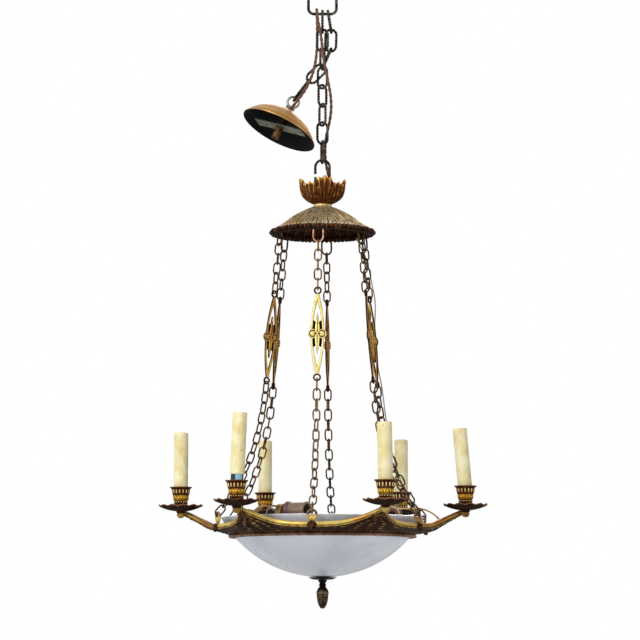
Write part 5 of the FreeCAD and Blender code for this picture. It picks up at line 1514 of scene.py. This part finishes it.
def closed_sweep(rows):
    """A form from closed sections in order, its two ends filled."""
    form = Form().grid(rows, around=True)
    for row in (rows[0], list(reversed(rows[-1]))):
        start = len(form.points)
        form.points += [Vector(p) for p, r in row]
        form.relief += [r for p, r in row]
        form.faces.append(list(range(start, start + len(row))))
        form.paint.append(0)
    return form


def rail_form():
    """The two half rails of one arm: a bar that runs from the boss round into the bays on both sides."""
    half = RAIL_HIGH / 2
    back = -RAIL_DEEP
    section = [         # distance out from the rail's face, height from its middle, and wear
        (-2.2, -half, 0.05), (-0.2, -half, 0.05), (0.5, -half + 0.9, 0.2), (0.1, -half + 1.8, 0.1),
        (-0.3, -half + 2.3, 0.1), (-0.1, -half + 3.4, 0.6), (0.0, 0.3, 0.7), (-0.3, half - 2.4, 0.7),
        (-1.1, half - 0.9, 0.6), (-2.4, half, 0.5), (back + 1.8, half, 0.4), (back + 0.4, half - 1.2, 0.3),
        (back, half - 3, 0.2), (back, -half + 2, 0.1), (back + 2, -half, 0.05),
    ]
    form = Form()
    count = 40
    for side in (-1, 1):
        spots = []
        for n in range(count + 1):
            offset = side * (RAIL_START + (PANEL_REACH - RAIL_START) * (n / count) ** 1.6)
            spots.append(Vector(polar(math.radians(offset), *rail_point(offset))))
        rows = []
        for n, spot in enumerate(spots):
            ahead = spots[min(n + 1, count)] - spots[max(n - 1, 0)]
            out = Vector((ahead.y, -ahead.x, 0)) * side
            if n == count:
                out = Vector((spot.x, spot.y, 0))
            out.normalize()
            rows.append([(spot + out * dr + UP * dz, r) for dr, dz, r in section])
        form.put(closed_sweep(rows))
    return form


def foliage(x, y):
    """Height of the cast spray of leaves that opens under an arm's tip and dies out towards the lugs."""
    across = abs(x)
    far = math.hypot(across, SPRAY_TOP - y)
    angle = math.atan2(across, SPRAY_TOP - y)
    leaf = 0.5 + 0.5 * math.cos(13 * angle + 0.9 * math.sin(far * 0.13))
    vein = 0.5 + 0.5 * math.cos(far * 0.6 - 7 * angle)
    fade = max(0.35, min(1.0, 1.45 - far / 85))
    reeds = 0.45 * max(0.0, math.cos(across * 0.55)) * max(0.0, 1 - abs(y - 6) / 6)
    return max(fade * leaf ** 1.4 * (0.65 + 0.35 * vein), reeds)


def web_form():
    """The sloping cast sheet of one arm between the base ring and its rails, carved underneath."""
    inner = BASE_OUTER + 0.15
    start_z = BASE_TOP - WEB_THICK
    around, along = 56, 40
    rows_low, rows_top = [], []
    for n in range(-around, around + 1):
        offset = math.copysign(PANEL_REACH * abs(n / around) ** 1.5, n)
        angle = math.radians(offset)
        outer, middle = rail_point(offset)
        run = Vector((outer - 1.0 - inner, middle - RAIL_HIGH / 2 + 0.6 - start_z))
        normal = Vector((run.y, -run.x)) / run.length
        low, top = [], []
        for m in range(along + 1):
            share = m / along
            radius = inner + run.x * share
            z = start_z + run.y * share
            border = min(1.0, min(share, 1 - share) * 9)
            height = foliage(angle * radius, share * run.length) * border
            lift = SPRAY_LIFT * height
            low.append((polar(angle, radius + normal.x * lift, z + normal.y * lift), 0.1 + 0.55 * height))
            top.append((polar(angle, radius, z + WEB_THICK - 0.3 - SPRAY_DENT * height), 0.1 + 0.3 * height))
        rows_low.append(low)
        rows_top.append(top)
    web = Form().grid(rows_low).grid(rows_top)
    for end in (0, -1):
        web.grid([[row[end] for row in rows_low], [row[end] for row in rows_top]])
        web.grid([rows_low[end], rows_top[end]])
    return web


def boss_form():
    """Gilt elbow under an arm's tip, and on it the dark stem that carries a pan."""
    paint = [0] * len(BOSS_ELBOW) + [1] * len(BOSS_STEM)
    boss = turned(raised_by(BOSS_ELBOW + BOSS_STEM, BOSS_LOW), 40, paint)
    return Form().put(boss, Matrix.Translation((ARM_RADIUS, 0, 0)))


def make_star_frame():
    rail = rail_form().put(boss_form())
    web = web_form()
    for k in range(ARMS):
        place = at_azimuth(arm_azimuth(k))
        finish = GILT_BROWN if k in BROWN_ARMS else GILT
        gilt = Form().put(rail, place).piece("rail_%d" % (k + 1), [finish, ROLL_BRONZE], 35)
        dress(gilt, "chandelier", ["arm_%d" % (k + 1)])
        carved = Form().put(web, place).piece("foliage_web_%d" % (k + 1), [CARVED_BRONZE], 60)
        dress(carved, "chandelier", ())


def make_base_ring():
    def seat(z):
        return math.sqrt((BOWL_SPHERE + LINK_PLAY) ** 2 - (BOWL_MIDDLE - z) ** 2)

    profile = [(seat(BASE_LOW), BASE_LOW), (BASE_FOOT, BASE_LOW)]
    profile += raised_by(arc(*BASE_LOWER_BEAD, -80, 80, 8) + list(BASE_COVE), BASE_LOW)
    profile += raised_by(arc(*BASE_UPPER_BEAD, -70, 60, 8), BASE_LOW)
    profile += [(BASE_OUTER, BASE_TOP - 0.4), (BASE_OUTER - 0.5, BASE_TOP), (seat(BASE_TOP), BASE_TOP)]
    ring = turned(profile, 160).piece("base_moulding", [BASE_BRONZE], 35)
    dress(ring, "chandelier", ["base_ring"])


def make_lugs():
    """Pleated feet under rings that take the chains' last links, and the clasps on the rail's seams."""
    ring = turned(arc((LUG_RING, 0), LUG_RING_WIRE, 0, 345, 12), 32)
    ring.paint = [1 if sum(ring.points[c].y for c in face) < 0 else 0 for face in ring.faces]
    lug = Form().put(ring, Matrix.Translation((0, 0, LUG_RING_UP)) @ Matrix.Rotation(-math.pi / 2, 4, "X"))
    for n in range(LUG_PLEATS):
        lean = math.radians((n - LUG_PLEATS // 2) * LUG_PLEAT_LEAN)
        stand = Matrix.Rotation(lean, 4, "Y") @ Matrix.Translation((0, 0, 5.0))
        stand = Matrix.Translation((0, 0, 0.4)) @ stand @ Matrix.Diagonal((1, 1.1, 1, 1))
        lug.put(ball((0, 0, 0), 2.0, 2.6, 8), stand)
    clasp = Form().put(ball((0, 0, 0), 1.0, 1.0, 14), Matrix.Diagonal((*CLASP, 1)))
    clasp.put(ball((0, -3.0, 0.5), 2.2, 1.0, 8))
    for n in range(CLASP_LEAVES):
        turn = math.radians((2 * n + 1) * 180 / CLASP_LEAVES)
        clasp.put(ball((0, -2.6, 3.6), 1.9, 2.2, 8), Matrix.Rotation(turn, 4, "Y"))
    lug.put(clasp, Matrix.Translation((0, -CLASP_OUT, -CLASP_DROP)), 2)
    whole = Form()
    for k in range(CHAINS):
        out = outwards(lug_azimuth(k))
        whole.put(lug, axes(out * LUG_RADIUS + UP * LUG_LOW, sideways(lug_azimuth(k)), UP))
    lugs = whole.piece("shell_lugs", [GILT, LUG_BROWN, ROLL_BRONZE], 60)
    dress(lugs, "chandelier", ["chain_lugs"])


make_star_frame()
make_base_ring()
make_lugs()


# Candle lights
def make_candle_cups():
    """Brown holders with a gilt band, each with rows of tongues, beads and diamonds."""
    profile = raised_by(HOLDER_FOOT + HOLDER_BAND + HOLDER_MOUTH, HOLDER_LOW)
    first = len(HOLDER_FOOT) - 1
    last = first + len(HOLDER_BAND)
    paint = [1 if first <= k <= last else 0 for k in range(len(profile))]
    cup = turned(profile, 48, paint, 0.35)
    whole = Form()
    for k in range(ARMS):
        whole.put(cup, at_azimuth(arm_azimuth(k), ARM_RADIUS))
    holders = whole.piece("candle_holders", [CUP_BROWN, CUP_GOLD], 35)
    dress(holders, "chandelier", ["candle_cups"])

    def seated(place, form, shape):
        return Form().put(form, Matrix.Translation((place[0], 0, HOLDER_LOW + place[1])) @ shape)

    tongue = seated(TONGUE_PLACE, ball((0, 0, 0), *TONGUE, 8), Matrix.Rotation(TONGUE_LEAN, 4, "Y"))
    bead = seated(BEAD_PLACE, ball((0, 0, 0), BEAD, 1.0, 6), Matrix())
    diamond = seated(DIAMOND_PLACE, ball((0, 0, 0), DIAMOND, 1.0, 6), Matrix.Diagonal(DIAMOND_SHAPE))
    trims = (
        on_arms("holder_tongues", tongue, BRIGHT_BRASS, HOLDER_TRIM),
        on_arms("holder_beads", bead, BRIGHT_BRASS, HOLDER_TRIM, HALF_TURN),
        on_arms("holder_diamonds", diamond, CUP_GOLD, HOLDER_TRIM, HALF_TURN),
    )
    for trim in trims:
        dress(trim, "chandelier", ())


def wax_edge(angle, k):
    """How far a cover's wax stands out at an angle, a little different on each."""
    waves = ((0.16, 3, 1.0), (0.12, 7, 2.1), (0.1, 11, 0.7))
    return sum(high * math.sin(count * angle + shift * k) for high, count, shift in waves)


def make_candle_covers():
    steps = 56
    angles = [TAU * s / steps for s in range(steps)]
    shape = [(0.0, -0.5), (0.8, 0.0)] + [(2 + (COVER_LONG - 4) * n / 30, 0.0) for n in range(31)]
    shape += [(COVER_LONG - 0.8, -0.2), (COVER_LONG, -1.1)]
    for k in range(ARMS):
        lean = math.radians(COVER_LEANS[k])
        axis = Vector((math.sin(lean), 0, math.cos(lean)))
        middle = outwards(arm_azimuth(k)) * ARM_RADIUS + UP * LEAN_Z
        foot = COVER_FOOT - LEAN_Z + LEAN_LIFT * abs(COVER_LEANS[k]) + COVER_LIFT[k]
        rows = []
        for up, inset in shape:
            row = []
            for angle in angles:
                run = max(0.0, math.sin(2 * angle + 1.7 * k + 0.02 * up)) ** 6
                drip = run * 0.3 * (0.3 + up / COVER_LONG)
                wave = 0.08 * math.sin(up * 0.21 + 3 * angle + k) + 0.5 * wax_edge(angle, k)
                rim = wax_edge(angle, k + 3) if up > COVER_LONG - 3 else 0.0
                radius = COVER_RADIUS - WAX_ROOM + inset + drip + wave
                row.append((polar(angle, radius, foot + up + rim - 0.8), 0.5))
            rows.append(row)
        for up in (COVER_LONG - 1.2, -0.2):
            rows.append([(polar(angle, COVER_INSIDE, foot + up), 0.5) for angle in angles])
        form = Form().grid(rows, around=True, along=True)
        body = "candle_cover_%d" % (k + 1)
        cover = Form().put(form, axes(middle, BACK.cross(axis), axis))
        dress(cover.piece("wax_sleeve_%d" % (k + 1), [WAX], 50), body, [body])


make_candle_cups()
make_candle_covers()


# Bowl, finial and canopy
def make_bowl():
    steps = 48

    def shell(radius):
        rim = math.acos((BOWL_MIDDLE - BOWL_RIM) / radius)
        hole = math.asin(BOWL_HOLE / radius)
        angles = [hole + (rim - hole) * (n / steps) for n in range(steps + 1)]
        return [(radius * math.sin(angle), BOWL_MIDDLE - radius * math.cos(angle)) for angle in angles]

    outer = shell(BOWL_SPHERE)
    inner = shell(BOWL_SPHERE - BOWL_WALL)
    rim_out, rim_in = outer[-1][0], inner[-1][0]
    below = BOWL_RIM - BOWL_EDGE / 2
    profile = outer[:-1] + [(rim_out - 0.3, below), (rim_out - BOWL_EDGE, BOWL_RIM)]
    profile += [(rim_in + BOWL_EDGE, BOWL_RIM), (rim_in + 0.5, below)] + list(reversed(inner[:-1]))
    bowl = turned(profile, 128).piece("alabaster_bowl", [ALABASTER], 40)
    dress(bowl, "bowl", ["bowl"])


def acorn_radius(share):
    """Radius of the scaly part of the acorn at a share of its depth under the cap."""
    return ACORN_RADIUS * 0.93 * math.sqrt(max(0.0, 1 - share ** 2.1))


def make_finial():
    """Turned neck and acorn cap over a core, and the scales that cover the core."""
    shoulder = FINIAL_TOP - FINIAL_NECK
    tip = shoulder - ACORN_HIGH
    cap_low = shoulder - ACORN_HIGH * ACORN_CAP_SHARE
    nut_long = cap_low - tip
    core = [(acorn_radius(n / 14) * 0.94, cap_low - nut_long * n / 14) for n in range(1, 14)]
    core.append((0, tip + 0.3))
    cap = [(radius, shoulder + up) for radius, up, wear in ACORN_CAP]
    worn = [0.0] * len(FINIAL_STEM) + [wear for radius, up, wear in ACORN_CAP] + [0.05] * len(core)
    acorn = turned(raised_by(FINIAL_STEM, FINIAL_TOP) + cap + core, 48, relief=worn)
    dress(acorn.piece("acorn_core", [FINIAL_BRONZE], 40), "finial", ["finial"])
    places, outs, sizes = [], [], []
    for row in range(SCALE_ROWS):
        share = 0.07 + 0.86 * row / (SCALE_ROWS - 1)
        radius = acorn_radius(share) * 0.95
        steeper = acorn_radius(share + 0.02) * 0.95 - radius
        fall = math.atan2(-steeper, 0.02 * nut_long)
        for n in range(SCALES_AROUND):
            angle = TAU * (n + 0.5 * (row % 2)) / SCALES_AROUND
            out = Vector(polar(angle, 1, 0))
            places.append(out * radius + UP * (cap_low - nut_long * share))
            outs.append((out * math.cos(fall) - UP * math.sin(fall)).normalized())
            sizes.append(max(0.3, radius / ACORN_RADIUS))
    scale = Form().put(ball((0, 0, 0), SCALE, 1.0, 6), Matrix.Diagonal(SCALE_SHAPE))
    scale.relief = [0.35] * len(scale.relief)
    copy = scale.piece("acorn_scale", [FINIAL_BRONZE], 60)
    mesh = grown("acorn_scales", SCALES, {"Copy": copy, "Material": FINIAL_BRONZE},
                 point_cloud(places, out=outs, size=sizes))
    bpy.data.objects.remove(copy)
    dress(linked("acorn_scales", mesh), "finial", ())


def canopy_place():
    level = math.cos(CANOPY_PITCH)
    up = Vector((math.sin(CANOPY_ROLL) * level, math.sin(CANOPY_PITCH), math.cos(CANOPY_ROLL) * level))
    return axes(CANOPY_HANG, BACK - up * BACK.dot(up), up)


def make_canopy():
    """Spun dome, dark inside; its relief attribute is the distance from its axis, for the spun rings."""
    reach = CANOPY_RADIUS - CANOPY_FLAT
    deep = CANOPY_APEX - CANOPY_RIM
    dome = (reach ** 2 + deep ** 2) / 2 / deep
    half = math.degrees(math.asin(reach / dome))
    middle = (CANOPY_FLAT, CANOPY_APEX - dome)
    outside = [(CANOPY_HOLE, CANOPY_APEX)] + arc(middle, dome, 90, 90 - half, 28)
    lip, low = outside[-1]
    outside += [(lip + 0.35, low + 0.9), (lip + 0.2, low - 0.2)]
    inside = [(lip - 1.4, low - 0.2)] + arc(middle, dome - CANOPY_WALL, 90 - half + 0.6, 90, 28)
    profile = outside + inside + [(CANOPY_HOLE, CANOPY_APEX - CANOPY_WALL)]
    paint = [0] * (len(outside) - 1) + [1] * (len(inside) + 2)
    form = turned(profile, 96, paint)
    form.relief = [math.hypot(p.x, p.y) * MM for p in form.points]
    shell = Form().put(form, canopy_place()).piece("canopy_dome", [SPUN_BRASS, INSIDE_BLACK], 40, 0)
    dress(shell, "canopy", ["canopy_shell"])


make_bowl()
make_finial()
make_canopy()


# Finishes of the pieces whose CAD shape is kept
KEPT_FINISHES = (
    (STEEL, ("ceiling_hook", "crown_nut", "finial_washer", "finial_nut", "canopy_nut")),
    (HEAVY_IRON, ("top_link", "crown_eye")),
    (NECK_GOLD, ("neck_ring",)),
    (CHAIN_BRONZE, ("chain_staples",)),
    (SOCKET_CARD, ("candle_sockets",)),
    (PLATE_BLACK, ("finial_plate",)),
    (HOLDER_BRASS, ("arm_nipples", "lamp_shells")),
    (HOLDER_COPPER, ("lamp_caps",)),
    (INSIDE_BLACK, ("lamp_bushes",)),
    (BRACKET_GOLD, ("lamp_brackets",)),
    (STRAP_GREY, ("canopy_loop", "canopy_strap")),
    (STEM_BROWN, ("canopy_stem",)),
)
for finish, nodes in KEPT_FINISHES:
    for node in nodes:
        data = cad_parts[node].data
        data.materials.clear()
        data.materials.append(finish)


# Room and light
def make_floor():
    material = new_material("pale_floor", Roughness=0.9, Base_Color=(0.92, 0.92, 0.92, 1))[0]
    ends = (-FLOOR_REACH, FLOOR_REACH)
    form = Form().grid([[((x, y, FLOOR_Z), 0) for x in ends] for y in ends])
    floor = form.piece("floor", [material])


def soft_light(name, place, aim, size, watts):
    data = bpy.data.lights.new(name, "AREA")
    data.shape = "DISK"
    data.size = size
    data.energy = watts
    lamp = linked(name, data)
    lamp.location = place
    lamp.rotation_euler = (Vector(aim) - Vector(place)).to_track_quat("-Z", "Y").to_euler()


def make_world():
    """White where the camera or a reflection sees it, and a plain soft light otherwise."""
    world = bpy.data.worlds.new("room")
    bpy.context.scene.world = world
    world.use_nodes = True
    tree = world.node_tree
    ground = tree.nodes["Background"]
    rays = add(tree, "ShaderNodeLightPath").outputs
    seen = maths(tree, "MAXIMUM", rays["Is Camera Ray"], rays["Is Glossy Ray"])
    seen = maths(tree, "MAXIMUM", seen, rays["Is Transmission Ray"])
    ground.inputs["Color"].default_value = (1, 1, 1, 1)
    tree.links.new(ranged(tree, seen, first=ROOM_LIGHT), ground.inputs["Strength"])


make_floor()
make_world()
for light in LIGHTS:
    soft_light(*light)
bpy.context.scene.view_settings.view_transform = "Standard"
